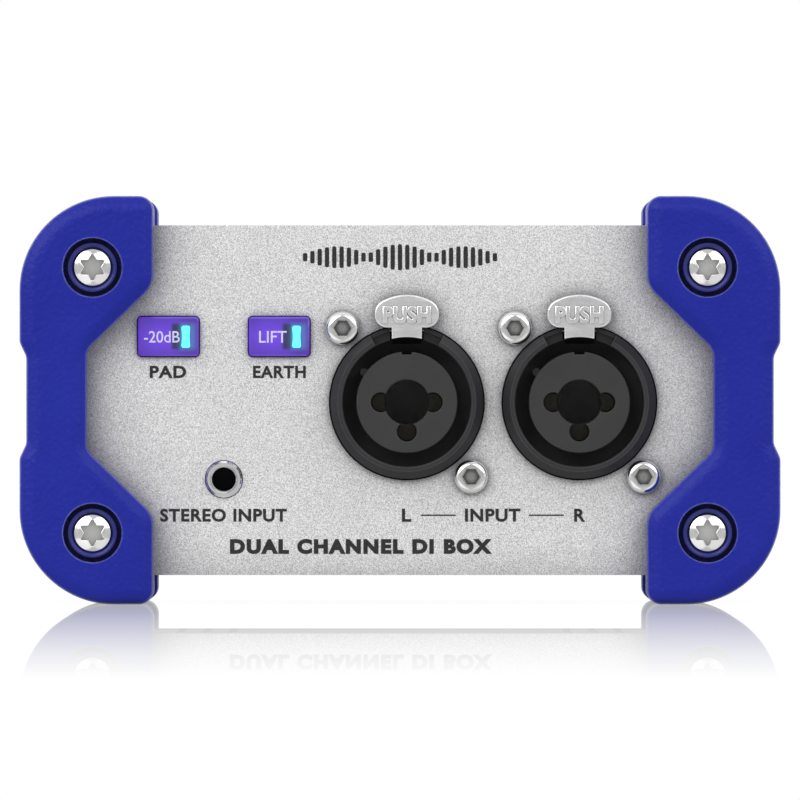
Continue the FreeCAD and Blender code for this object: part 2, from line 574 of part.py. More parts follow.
def combo_shell_master():
    """Moulded shell: bezel ring through the panel, flange behind it and a barrel round the mating gap."""
    body = turned("combo_ring", [
        ("dim.mouth_radius", "-dim.bezel_height + dim.mouth_chamfer"),
        ("dim.mouth_radius + dim.mouth_chamfer", "-dim.bezel_height"),
        ("dim.bezel_face", "-dim.bezel_height"),
        ("dim.bezel_radius", "-dim.bezel_wall"), ("dim.bezel_radius", "dim.panel_thickness"),
        ("dim.barrel_radius", "dim.panel_thickness"), ("dim.barrel_radius", "dim.barrel_end"),
        ("dim.mouth_radius", "dim.barrel_end")])
    flange = front_sketch(body, "combo_flange", "dim.panel_thickness")
    centred(flange, "dim.flange_width", "dim.flange_height")
    circle(flange, "dim.mouth_radius + dim.overcut")
    for sx, sz in (("-", ""), ("", "-")):
        circle(flange, "dim.boss_hole", f"{sx}dim.fixing_x", f"{sz}dim.fixing_z")
    pad(body, flange, "dim.flange_thickness")
    round_edges(body, "combo_flange_corners", "dim.flange_corner", corner_at(
        [(f"{sx}dim.flange_width / 2", f"{sz}dim.flange_height / 2") for sx, sz in CORNERS]))
    notches = []
    front = "(dim.bezel_height + dim.overcut)"
    for name, radius, floor in (("notch_well", "dim.notch_radius", "dim.notch_floor"),
                                ("notch_rim", "dim.bezel_radius + dim.overcut", "dim.notch_rim")):
        sector = cylinder(name, radius, f"{front} - {floor}", y=f"-{front}",
                          turn=FreeCAD.Rotation(V(0, 1, 0), -number("dim.notch_half_angle") - 90) * ALONG_Y)
        bind(sector, {"Angle": "2 * dim.notch_half_angle"})
        notches.append(sector)
    slot = block("lever_slot", ("2 * dim.slot_half_width", f"dim.slot_end + {front}",
                                "dim.slot_top - dim.slot_floor"),
                 ("-dim.slot_half_width", f"-{front}", "dim.slot_floor"))
    pin = cylinder("lever_pin_hole", "dim.pivot_pin", "dim.pivot_pin_length", "-dim.pivot_pin_length / 2",
                   "dim.pivot_depth", "dim.pivot_height", ALONG_X)
    return cut("combo_shell", body, notches + [slot, pin])


def combo_insert_master():
    """Contact insert: the round face with the jack mouth and three pin sockets, and the jack block behind."""
    body = new_body("combo_insert")
    face = "-(dim.bezel_height - dim.insert_drop)"
    core = front_sketch(body, "insert_core", face)
    circle(core, "dim.insert_radius")
    pad(body, core, f"dim.barrel_end - ({face})")
    disc = front_sketch(body, "insert_disc", "dim.barrel_end")
    circle(disc, "dim.barrel_radius")
    pad(body, disc, "dim.insert_disc_end - dim.barrel_end")
    jack = front_sketch(body, "insert_block", "dim.insert_disc_end")
    rectangle(jack, "-dim.socket_block_width / 2", "-(dim.board_drop - dim.combo_drop)",
              "dim.socket_block_width / 2", "dim.socket_block_width / 2")
    pad(body, jack, "dim.socket_block_end - dim.insert_disc_end")
    mouth = front_sketch(body, "insert_mouth", face)
    circle(mouth, "dim.jack_mouth")
    pocket(body, mouth, f"dim.pin_socket_end - ({face})")
    sockets = front_sketch(body, "insert_sockets", face)
    for x, z in THREE_PINS:
        circle(sockets, "dim.pin_socket", x, z)
    pocket(body, sockets, f"dim.pin_socket_end - ({face})")
    bore = front_sketch(body, "insert_bore", "dim.pin_socket_end")
    circle(bore, "dim.jack_bore")
    pocket(body, bore, "dim.jack_bore_end - dim.pin_socket_end")
    keyway = front_sketch(body, "insert_keyway", face)
    centred(keyway, "dim.keyway_width", "2 * dim.keyway_depth", "0", "dim.insert_radius")
    pocket(body, keyway, f"dim.barrel_end - ({face})")
    round_edges(body, "insert_face_edges", "dim.insert_chamfer", in_plane_y(face), "Chamfer")
    rib = cylinder("polarity_rib", "dim.polarity_rib", "dim.barrel_end - dim.rib_start",
                   "dim.rib_at * cos(dim.rib_angle)", "dim.rib_start", "dim.rib_at * sin(dim.rib_angle)")
    return fuse("combo_insert_with_rib", [body, rib])


def combo_contacts_master():
    """Three turned sockets that take the pins of a cable connector."""
    length = "dim.pin_socket_end - dim.contact_front"
    sockets = []
    for i, (x, z) in enumerate(THREE_PINS):
        tube = cylinder(f"contact_tube_{i}", "dim.contact_outer", length, x, "dim.contact_front", z)
        hole = cylinder(f"contact_hole_{i}", "dim.contact_inner", f"{length} - dim.contact_floor", x,
                        "dim.contact_front", z)
        jack = cylinder(f"contact_relief_{i}", "dim.jack_mouth + dim.seat_play", length,
                        y="dim.contact_front")
        sockets.append(cut(f"contact_{i}", tube, [hole, jack]))
    return group("combo_contacts", sockets)


def release_tab_master():
    """Steel release tab: a plate in front of the panel, a neck, and a tongue bent back through the bezel."""
    body = new_body("tab")
    front, back = "-dim.tab_front", "-(dim.tab_front - dim.tab_thickness)"
    plate = front_sketch(body, "tab_plate", front)
    rectangle(plate, "-dim.tab_half_width", "dim.tab_bottom", "dim.tab_half_width",
              "dim.tab_top + dim.overcut")
    pad(body, plate, "dim.tab_thickness")
    deep = "dim.tab_front + dim.tongue_end + 2 * dim.overcut"
    crown = front_sketch(body, "tab_crown", f"{front} - dim.overcut")
    centred(crown, "4 * dim.tab_crown", "4 * dim.tab_crown", "0", "dim.tab_top - dim.tab_crown")
    circle(crown, "dim.tab_crown", "0", "dim.tab_top - dim.tab_crown")
    pocket(body, crown, deep)
    shoulder = "dim.tab_top - dim.tab_crown + sqrt(dim.tab_crown ^ 2 - dim.tab_half_width ^ 2)"
    for name, radius, height in (("tab_low_corners", "dim.tab_low_round", "dim.tab_bottom"),
                                 ("tab_high_corners", "dim.tab_high_round", shoulder)):
        round_edges(body, name, radius, corner_at([(f"{sx}dim.tab_half_width", height) for sx in ("-", "")]))
    bend = "dim.tab_bottom + dim.tab_bend"
    across(body, "tab_tongue", "dim.neck_width", [
        (front, bend), (front, "dim.neck_low"), ("dim.tongue_end", "dim.neck_low"),
        ("dim.tongue_end", "dim.tongue_top"), (back, "dim.tongue_top"), (back, bend)])
    curve = front_sketch(body, "tab_neck_curve", f"{front} - dim.overcut")
    circle(curve, "dim.neck_curve")
    pocket(body, curve, deep)
    round_edges(body, "tab_front_edge", "dim.tab_edge", in_plane_y(front))
    return body


def latch_arm_master():
    """Black latch arm: a lug over the tab's tongue, a tooth that holds the plug, a fork on a cross pin."""
    body = new_body("arm")
    end, root = "dim.pivot_depth + dim.pivot_boss", "dim.pivot_depth - dim.pivot_boss"
    across(body, "arm_profile", "dim.arm_width", [
        ("dim.lug_start", "dim.tongue_top"), ("dim.tongue_end", "dim.tongue_top"),
        ("dim.tongue_end", "dim.arm_bottom"), ("dim.tooth_lead", "dim.tooth_tip"),
        ("dim.tooth_end", "dim.tooth_tip"), ("dim.tooth_end", "dim.arm_bottom"), (end, "dim.arm_bottom"),
        (end, "dim.pivot_height"), (root, "dim.pivot_height"), (root, "dim.lug_top"),
        ("dim.lug_start", "dim.lug_top")])
    boss = cylinder("arm_boss", "dim.pivot_boss", "dim.arm_width", "-dim.arm_width / 2",
                    "dim.pivot_depth", "dim.pivot_height", ALONG_X)
    hole = cylinder("arm_hole", "dim.pivot_hole", "dim.pivot_pin_length", "-dim.pivot_pin_length / 2",
                    "dim.pivot_depth", "dim.pivot_height", ALONG_X)
    fork = block("arm_fork", ("2 * dim.fork_half_width", f"{end} - dim.fork_start + dim.overcut",
                              "dim.pivot_height + dim.pivot_boss - dim.arm_bottom + 2 * dim.overcut"),
                 ("-dim.fork_half_width", "dim.fork_start", "dim.arm_bottom - dim.overcut"))
    return cut("latch_arm", fuse("arm_whole", [body, boss]), [hole, fork])


def coil(name, radius, wire, turns, length):
    """A closed-wound or open round-wire coil along local +Z from local Z 0, set from Part's own functions."""
    mean, thick, height = number(radius), number(wire), number(length)
    count = number(turns)
    helix = Part.makeHelix(height / count, height, mean)
    ring = Part.Wire([Part.makeCircle(thick, V(mean, 0, 0), V(0, 1, 0))])
    feature = doc.addObject("Part::Feature", name)
    feature.Shape = Part.Wire(helix.Edges).makePipeShell([ring], True, True)
    return feature


def lever_spring_master():
    """Torsion spring round the latch arm's cross pin, with a leg on the arm and one to the slot's end."""
    length = "dim.lever_coil_pitch * dim.lever_coil_turns"
    wound = coil("lever_coil", "dim.lever_coil", "dim.lever_wire", "dim.lever_coil_turns", length)
    wound.Placement = FreeCAD.Placement(
        V(-number(length) / 2, number("dim.pivot_depth"), number("dim.pivot_height")), TURNED["X"] * ALONG_X)
    front = cylinder("spring_front_leg", "dim.lever_wire", "dim.lever_leg", f"{length} / 2",
                     "dim.pivot_depth - dim.lever_coil - dim.lever_leg + dim.lever_wire",
                     "dim.lug_top + dim.lever_wire + dim.lever_play")
    rear = cylinder("spring_rear_leg", "dim.lever_wire", "dim.slot_end - dim.pivot_depth - dim.lever_play",
                    f"-{length} / 2", "dim.pivot_depth", "dim.pivot_height + dim.lever_coil")
    return fuse("lever_spring", [wound, front, rear])


def make_combos():
    at_combos(combo_shell_master(), "combo_shell")
    at_combos(combo_insert_master(), "combo_insert")
    at_combos(combo_contacts_master(), "combo_contacts")
    at_combos(release_tab_master(), "release_tab")
    at_combos(latch_arm_master(), "latch_arm")
    at_combos(lever_spring_master(), "lever_spring")
    pins, screws = [], []
    screw = fixing_screw("fixing_screw", "dim.fixing_length")
    for side, x in COMBOS:
        pins.append(cylinder(f"lever_pin_{side}", "dim.pivot_pin", "dim.pivot_pin_length",
                             f"{x} - dim.pivot_pin_length / 2", "-dim.panel_face + dim.pivot_depth",
                             f"{COMBO_Z} + dim.pivot_height", ALONG_X))
        for sx, sz in (("-", "+"), ("+", "-")):
            screws.append(copy_of(screw, f"combo_screw_{len(screws) + 1}", f"{x} {sx} dim.fixing_x",
                                  "-dim.panel_face", f"{COMBO_Z} {sz} dim.fixing_z"))
    node("lever_pins", group("lever_pins", pins))
    node("combo_screws", group("combo_screws", screws))


def fixing_screw(name, length):
    """Round-headed screw with a hexagon socket. Its head stands on local Y 0."""
    screw = turned(name, [
        ("0", "-dim.fixing_head_height"), ("dim.fixing_head", "-dim.fixing_head_height"),
        ("dim.fixing_head", "0"), ("dim.screw_shank", "0"), ("dim.screw_shank", f"{length} - dim.screw_tip"),
        ("dim.screw_shank - dim.screw_tip", length), ("0", length)])
    round_edges(screw, name + "_crown", "dim.fixing_head_round", in_plane_y("-dim.fixing_head_height"))
    key = front_sketch(screw, name + "_key", "-dim.fixing_head_height")
    polygon(key, hexagon("dim.fixing_key"))
    pocket(screw, key, "dim.fixing_key_depth")
    round_edges(screw, name + "_rim", "dim.fixing_edge",
                rim_within("-dim.fixing_head_height", "dim.fixing_key"), "Chamfer")
    return screw


# --------------------------------------------------------------------------------------------- push buttons
def cap_master():
    """Translucent cap, open at the back, with a slot for the light pipe. Local Y 0 is the panel's face."""
    body = new_body("cap")
    front = "-dim.cap_proud"
    outline = front_sketch(body, "cap_outline", front)
    centred(outline, "dim.cap_width", "dim.cap_height")
    pad(body, outline, "dim.cap_depth")
    round_edges(body, "cap_corners", "dim.cap_corner", along_y)
    round_edges(body, "cap_bevel", "dim.cap_bevel", in_plane_y(front), "Chamfer")
    inside = front_sketch(body, "cap_inside", f"{front} + dim.cap_face")
    centred(inside, "(dim.cap_width - 2 * dim.cap_wall)", "(dim.cap_height - 2 * dim.cap_wall)")
    pocket(body, inside, "dim.cap_depth")
    slot = front_sketch(body, "cap_slot", front)
    centred(slot, "dim.light_width", "dim.light_height", "dim.light_x")
    pocket(body, slot, "dim.cap_face")
    return body


def make_buttons():
    cap = cap_master()
    front = "-dim.cap_proud"
    pipe = block("light_pipe", ("dim.light_width", "dim.light_end + dim.cap_proud", "dim.light_height"),
                 ("dim.light_x - dim.light_width / 2", front, "-dim.light_height / 2"))
    stem_start = f"({front} + dim.cap_face)"
    stem = cylinder("plunger", "dim.plunger_radius", f"dim.plunger_end - {stem_start}", y=stem_start)
    case = block("switch_case",
                 ("dim.switch_width", "dim.switch_back - dim.switch_front", "dim.switch_height"),
                 ("-dim.switch_width / 2", "dim.switch_front", "-dim.switch_height / 2"))
    way = cylinder("plunger_way", "dim.plunger_hole", "dim.plunger_hole_end - dim.switch_front",
                   y="dim.switch_front")
    switch = cut("switch_body", case, [way])
    spring_start = f"({stem_start} + dim.spring_wire + dim.spring_play)"
    spring = coil("button_spring", "dim.spring_radius", "dim.spring_wire", "dim.spring_turns",
                  f"dim.switch_front - dim.spring_wire - dim.spring_play - {spring_start}")
    spring.Placement = FreeCAD.Placement(V(0, number(spring_start), 0), ALONG_Y)
    sprung = group("button_spring_set", [spring])
    leds = []
    for name, x in (("pad", "dim.pad_x"), ("earth", "dim.earth_x")):
        where = {"x": x, "y": "-dim.panel_face", "z": "dim.mid_height + dim.button_rise"}
        for master, label in ((cap, "button_cap"), (pipe, "light_pipe"), (stem, "plunger"),
                              (sprung, "button_spring"), (switch, "switch_body")):
            node(f"{name}_{label}", copy_of(master, f"{name}_{label}", **where))
        leds.append(block(f"{name}_led", ("dim.light_width", "dim.led_height", "dim.light_height"),
                          (f"{x} + dim.light_x - dim.light_width / 2",
                           "-dim.panel_face + dim.switch_front - dim.led_height",
                           "dim.mid_height + dim.button_rise - dim.light_height / 2")))
    node("indicator_leds", group("indicator_leds", leds))


# ------------------------------------------------------------------------------------------ small stereo jack
def make_minijack():
    where = {"x": "dim.minijack_x", "y": "-dim.panel_face", "z": "dim.mid_height - dim.minijack_drop"}
    ring = turned("minijack_ring", [
        ("dim.minijack_bore", "-dim.minijack_proud + dim.minijack_bevel"),
        ("dim.minijack_bore + dim.minijack_bevel", "-dim.minijack_proud"),
        ("dim.minijack_ring - dim.minijack_bevel", "-dim.minijack_proud"),
        ("dim.minijack_ring", "-dim.minijack_proud + dim.minijack_bevel"),
        ("dim.minijack_ring", "dim.panel_thickness"), ("dim.minijack_bore", "dim.panel_thickness")])
    node("minijack_bushing", place(ring, **where))
    case = block("minijack_case", ("dim.minijack_width", "dim.minijack_depth",
                                   "dim.minijack_rise + dim.board_drop - dim.minijack_drop"),
                 ("-dim.minijack_width / 2", "dim.panel_thickness", "dim.minijack_drop - dim.board_drop"))
    bore = cylinder("minijack_way", "dim.minijack_bore", "dim.minijack_bore_end - dim.panel_thickness",
                    y="dim.panel_thickness")
    body = cut("minijack_body", case, [bore])
    node("minijack_body", place(body, **where))
    reeds = []
    for i in (-1, 0, 1):
        reeds.append(block(f"minijack_reed_{i + 1}",
                           ("dim.reed_width", "dim.reed_length", "dim.reed_thickness"),
                           (f"dim.minijack_x - dim.reed_width / 2 + {i} * dim.reed_pitch",
                            "-dim.panel_face + dim.reed_depth",
                            "dim.mid_height - dim.minijack_drop + dim.minijack_rise")))
    node("minijack_contacts", group("minijack_contacts", reeds))


# ------------------------------------------------------------------------------------------- rear connectors
def output_shell_master():
    """Die-cast shell of a male output: a flange outside the panel and a tube through it."""
    body = turned("output_tube", [
        ("dim.output_cup", "-dim.output_rim + dim.output_bevel"),
        ("dim.output_cup + dim.output_bevel", "-dim.output_rim"),
        ("dim.output_rim_radius - dim.output_bevel", "-dim.output_rim"),
        ("dim.output_rim_radius", "-dim.output_flange"),
        ("dim.output_barrel", "-dim.output_flange"), ("dim.output_barrel", "dim.output_tube_end"),
        ("dim.output_cup", "dim.output_tube_end")])
    flange = front_sketch(body, "output_flange", "-dim.output_flange")
    centred(flange, "dim.output_width", "dim.output_height")
    circle(flange, "dim.output_cup + dim.overcut")
    for sx, sz in (("-", ""), ("", "-")):
        circle(flange, "dim.fixing_hole", f"{sx}dim.output_fixing_x", f"{sz}dim.output_fixing_z")
    pad(body, flange, "dim.output_flange")
    round_edges(body, "output_flange_corners", "dim.flange_corner", corner_at(
        [(f"{sx}dim.output_width / 2", f"{sz}dim.output_height / 2") for sx, sz in CORNERS]))
    return body


def output_pins_master():
    """Three contact pins with solder tails, in the triangle of a three-pin connector."""
    start = "dim.output_pin_tip"
    pin = turned("output_pin", [
        ("0", start), ("dim.output_pin - dim.output_pin_point", start),
        ("dim.output_pin", f"{start} + dim.output_pin_taper"),
        ("dim.output_pin", "dim.output_tube_end + dim.output_land"),
        ("dim.output_pin / 2", "dim.output_tube_end + dim.output_land"),
        ("dim.output_pin / 2", "dim.output_tube_end + dim.output_tail"),
        ("0", "dim.output_tube_end + dim.output_tail")])
    copies = [copy_of(pin, f"output_pin_{i}", x, "0", z) for i, (x, z) in enumerate(THREE_PINS)]
    return group("output_pin_set", copies)


def output_insulator_master():
    disc = cylinder("insulator_disc", "dim.output_cup", "dim.output_tube_end - dim.output_floor",
                    y="dim.output_floor")
    holes = [cylinder(f"insulator_hole_{i}", "dim.output_pin", "dim.output_tube_end + dim.overcut", x, "0", z)
             for i, (x, z) in enumerate(THREE_PINS)]
    return cut("output_insulator", disc, holes)


def link_jack_master():
    """Housing of a 6.35 mm jack, standing on the main board, and its threaded nose through the panel."""
    nose = cylinder("link_nose", "dim.link_bushing", "dim.link_proud + dim.panel_thickness",
                    y="-dim.link_proud")
    case = block("link_case", ("dim.link_width", "dim.link_depth - dim.panel_thickness",
                               "dim.link_rise + dim.board_drop"),
                 ("-dim.link_width / 2", "dim.panel_thickness", "-dim.board_drop"))
    bore = cylinder("link_bore", "dim.link_bore", "dim.link_bore_end + dim.link_proud + dim.overcut",
                    y="-dim.link_proud - dim.overcut")
    return cut("link_jack", fuse("link_whole", [nose, case]), [bore])


def make_rear_connectors():
    shell, pins = output_shell_master(), output_pins_master()
    jack, insulator = link_jack_master(), output_insulator_master()
    screw = fixing_screw("output_screw", "dim.output_fixing_length")
    stack = "(dim.link_washer_height + dim.link_nut_height)"
    nut = new_body("link_nut")
    outline = front_sketch(nut, "link_nut_outline", f"-{stack}")
    polygon(outline, hexagon("dim.link_nut"))
    circle(outline, "dim.link_bushing + dim.thread_play")
    pad(nut, outline, "dim.link_nut_height")
    disc = cylinder("washer_disc", "dim.link_washer", "dim.link_washer_height", y="-dim.link_washer_height")
    washer = cut("link_washer", disc, [cylinder("washer_hole", "dim.link_bushing + dim.washer_play", stack,
                                                y=f"-{stack}")])
    insulators, nuts, washers, screws, reeds = [], [], [], [], []
    for sx, side in SIGNS:
        where = {"x": f"{sx}dim.output_x", "y": "dim.panel_face", "z": "dim.mid_height", "turn": TURNED["Z"]}
        node(f"output_shell_{side}", copy_of(shell, f"output_shell_{side}", **where))
        node(f"output_pins_{side}", copy_of(pins, f"output_pins_{side}", **where))
        insulators.append(copy_of(insulator, f"output_insulator_{side}", **where))
        for turn_x, turn_z in (("+", "+"), ("-", "-")):
            screws.append(copy_of(screw, f"output_screw_{len(screws) + 1}",
                                  f"{sx}dim.output_x {turn_x} dim.output_fixing_x",
                                  "dim.panel_face + dim.output_flange",
                                  f"dim.mid_height {turn_z} dim.output_fixing_z", TURNED["Z"]))
        where = {"x": f"{sx}dim.link_x", "y": "dim.panel_face", "z": "dim.mid_height", "turn": TURNED["Z"]}
        node(f"link_jack_{side}", copy_of(jack, f"link_jack_{side}", **where))
        nuts.append(copy_of(nut, f"link_nut_{side}", **where))
        washers.append(copy_of(washer, f"link_washer_{side}", **where))
        for i in (-1, 0, 1):
            reeds.append(block(f"link_reed_{side}_{i + 1}",
                               ("dim.link_reed_width", "dim.link_reed_length", "dim.link_reed_thickness"),
                               (f"{sx}dim.link_x - dim.link_reed_width / 2 + {i} * dim.link_reed_pitch",
                                "dim.panel_face - dim.link_reed_length - dim.link_reed_depth"
                                f" - {i + 1} * dim.link_reed_step", "dim.mid_height + dim.link_rise")))
    node("output_insulators", group("output_insulators", insulators))
    node("output_screws", group("output_screws", screws))
    node("link_jack_nuts", group("link_jack_nuts", nuts))
    node("link_jack_washers", group("link_jack_washers", washers))
    node("link_jack_contacts", group("link_jack_contacts", reeds))


# --------------------------------------------------------------------------------------------------- boards
BOARD_TOP = "(dim.mid_height - dim.board_drop)"


def solder_tails():
    """Every through-hole tail: rows under the connectors and the transformers."""
    rows = []
    for side, x in COMBOS:
        rows += [(f"{x} + {step} * dim.combo_tail_pitch",
                  f"-dim.panel_face + dim.combo_tail_depth + dim.combo_tail_stagger * {abs(step) % 2}")
                 for step in range(-2, 3)]
    rows += [(f"dim.minijack_x + {step} * dim.reed_pitch", "-dim.panel_face + dim.minijack_tail_depth")
             for step in (-1, 0, 1)]
    for sx, side in SIGNS:
        rows += [(f"{sx}dim.link_x + {step} * dim.link_tail_pitch", "dim.panel_face - dim.link_tail_depth")
                 for step in (-1, 0, 1)]
        rows += [(f"{sx}dim.output_x {way} dim.core_width * dim.core_tail_share", "dim.transformer_y")
                 for way in ("-", "+")]
    return [cylinder(f"tail_{i}", "dim.tail_radius", "dim.board_thickness + dim.tail_below", x, y,
                     f"{BOARD_TOP} - dim.board_thickness - dim.tail_below", UPRIGHT)
            for i, (x, y) in enumerate(rows)]


def make_boards():
    tails = solder_tails()
    node("solder_tails", group("solder_tails", tails))
    plate = block("board_plate", ("dim.board_width", "dim.board_length", "dim.board_thickness"),
                  ("-dim.board_width / 2", "-dim.board_length / 2", f"{BOARD_TOP} - dim.board_thickness"))
    node("main_board", cut("main_board", plate, tails))
    back = "(-dim.panel_face + dim.switch_back)"
    node("switch_board", block("switch_board", ("dim.switch_board_width", "dim.board_thickness",
                                                "dim.switch_board_height"),
                               ("dim.switch_board_left", back, BOARD_TOP)))
    node("board_header", block("board_header", ("dim.header_length", "dim.header_depth", "dim.header_height"),
                               ("dim.switch_board_left + dim.header_inset", f"{back} + dim.board_thickness",
                                BOARD_TOP)))


def make_transformers():
    """Two audio transformers, each a laminated core with its wound bobbin on the middle leg."""
    core = cut("core", block("core_stack", ("dim.core_width", "dim.core_depth", "dim.core_height"),
                             ("-dim.core_width / 2", "-dim.core_depth / 2", "0")),
               [block(f"core_window_{side}",
                      ("dim.core_window", "dim.core_depth + 2 * dim.overcut", "dim.core_window_height"),
                      (f"{sx}(dim.core_leg + dim.core_window) / 2 - dim.core_window / 2",
                       "-dim.core_depth / 2 - dim.overcut", "(dim.core_height - dim.core_window_height) / 2"))
                for sx, side in SIGNS])
    width = "(dim.core_leg + 2 * dim.core_window - 2 * dim.coil_play)"
    height = "(dim.core_window_height - 2 * dim.coil_play)"
    bottom = f"(dim.core_height - {height}) / 2"
    wound = cut("coil", block("coil_whole", (width, "dim.coil_depth", height),
                              (f"-{width} / 2", "-dim.coil_depth / 2", bottom)),
                [block("coil_eye", ("dim.core_leg", "dim.core_depth", "dim.core_height"),
                       ("-dim.core_leg / 2", "-dim.core_depth / 2", "0"))])
    for sx, side in SIGNS:
        where = {"x": f"{sx}dim.output_x", "y": "dim.transformer_y", "z": BOARD_TOP}
        node(f"transformer_core_{side}", copy_of(core, f"transformer_core_{side}", **where))
        node(f"transformer_coil_{side}", copy_of(wound, f"transformer_coil_{side}", **where))


def make_components():
    """The smaller parts on the main board, each kind as one group of separate solids."""
    cans = [cylinder(f"can_{row}_{i}", "dim.can_radius", "dim.can_height", f"dim.can_x + {i} * dim.can_pitch",
                     f"dim.can_y + {row} * dim.can_row_pitch", BOARD_TOP, UPRIGHT)
            for row in range(2) for i in range(4)]
    node("electrolytic_capacitors", group("electrolytic_capacitors", cans))
    films = [block(f"film_{i}", ("dim.film_length", "dim.film_thickness", "dim.film_height"),
                   ("dim.film_x", f"dim.film_y + {i} * dim.film_pitch", BOARD_TOP)) for i in range(6)]
    node("film_capacitors", group("film_capacitors", films))
    chips = [block(f"chip_{i}", ("dim.chip_length", "dim.chip_width", "dim.chip_height"),
                   (f"dim.chip_x + {i} * dim.chip_pitch", "dim.chip_y", BOARD_TOP)) for i in range(3)]
    node("amplifier_chips", group("amplifier_chips", chips))
    resistors = [cylinder(f"resistor_{i}", "dim.resistor_radius", "dim.resistor_length",
                          f"dim.resistor_x + {i} * dim.resistor_pitch", "dim.resistor_y",
                          f"{BOARD_TOP} + dim.resistor_radius") for i in range(8)]
    node("resistors", group("resistors", resistors))


# ---------------------------------------------------------------------------------------------- build, export
make_sleeve()
make_front_panel()
make_rear_panel()
make_bumpers()
make_bumper_fixings()
make_combos()
make_buttons()
make_minijack()
make_rear_connectors()
make_boards()
make_transformers()
make_components()
doc.recompute()

for thing in doc.Objects:
    if "Invalid" in thing.State or "Error" in thing.State:
        raise RuntimeError(f"{thing.Name} failed: {thing.State}")

os.makedirs("parts", exist_ok=True)
for name, thing in nodes.items():
    shape = Part.getShape(thing)
    if shape.isNull() or not shape.isValid() or not shape.Solids:
        raise RuntimeError(f"{name} has no valid solid")
    shape.exportStep(f"parts/{name}.step")
    box = shape.optimalBoundingBox()
    print(f"{name:26s} {len(shape.Solids):2d} solids {shape.Volume:10.1f} mm3  "
          f"x {box.XMin:7.2f} {box.XMax:7.2f}  y {box.YMin:7.2f} {box.YMax:7.2f}  "
          f"z {box.ZMin:6.2f} {box.ZMax:6.2f}")
print(len(nodes), "nodes")
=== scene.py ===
"""Looks of the direct injection box: finishes, printing, lit buttons, studio and camera.

Lengths are in metres in the row frame: +Z up, the front panel faces -Y, X runs to the right.
"""

import json
import math

import bmesh
import bpy
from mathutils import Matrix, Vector


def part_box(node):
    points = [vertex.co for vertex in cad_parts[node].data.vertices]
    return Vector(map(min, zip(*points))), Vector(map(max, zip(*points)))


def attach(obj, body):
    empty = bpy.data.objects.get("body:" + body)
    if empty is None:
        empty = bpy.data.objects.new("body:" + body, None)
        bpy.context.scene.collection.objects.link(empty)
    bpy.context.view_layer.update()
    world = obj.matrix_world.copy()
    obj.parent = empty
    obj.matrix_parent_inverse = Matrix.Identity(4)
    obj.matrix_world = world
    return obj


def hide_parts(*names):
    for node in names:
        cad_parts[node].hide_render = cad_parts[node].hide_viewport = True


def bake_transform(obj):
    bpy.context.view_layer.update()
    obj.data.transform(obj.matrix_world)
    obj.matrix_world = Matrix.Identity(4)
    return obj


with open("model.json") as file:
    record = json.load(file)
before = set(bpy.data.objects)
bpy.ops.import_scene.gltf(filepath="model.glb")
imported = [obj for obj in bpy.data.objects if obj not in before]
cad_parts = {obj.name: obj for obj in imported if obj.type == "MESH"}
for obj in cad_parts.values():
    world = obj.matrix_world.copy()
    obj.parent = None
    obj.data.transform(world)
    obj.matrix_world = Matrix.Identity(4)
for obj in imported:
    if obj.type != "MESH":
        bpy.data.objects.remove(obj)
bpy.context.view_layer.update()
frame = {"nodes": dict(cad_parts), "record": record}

MM = 0.001
FRONT, REAR = -1, 1
WAVE_PERIOD = 0.314  # length over which a wave texture of scale 1 repeats
SKY_SAMPLES, EDGE_SAMPLES = 8, 4


def middle_of(node):
    """The middle of a node's box at rest."""
    low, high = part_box(node)
    return (low + high) / 2


panel_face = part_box("front_panel")[0].y
rear_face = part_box("rear_panel")[1].y
panel_middle = middle_of("front_panel").z


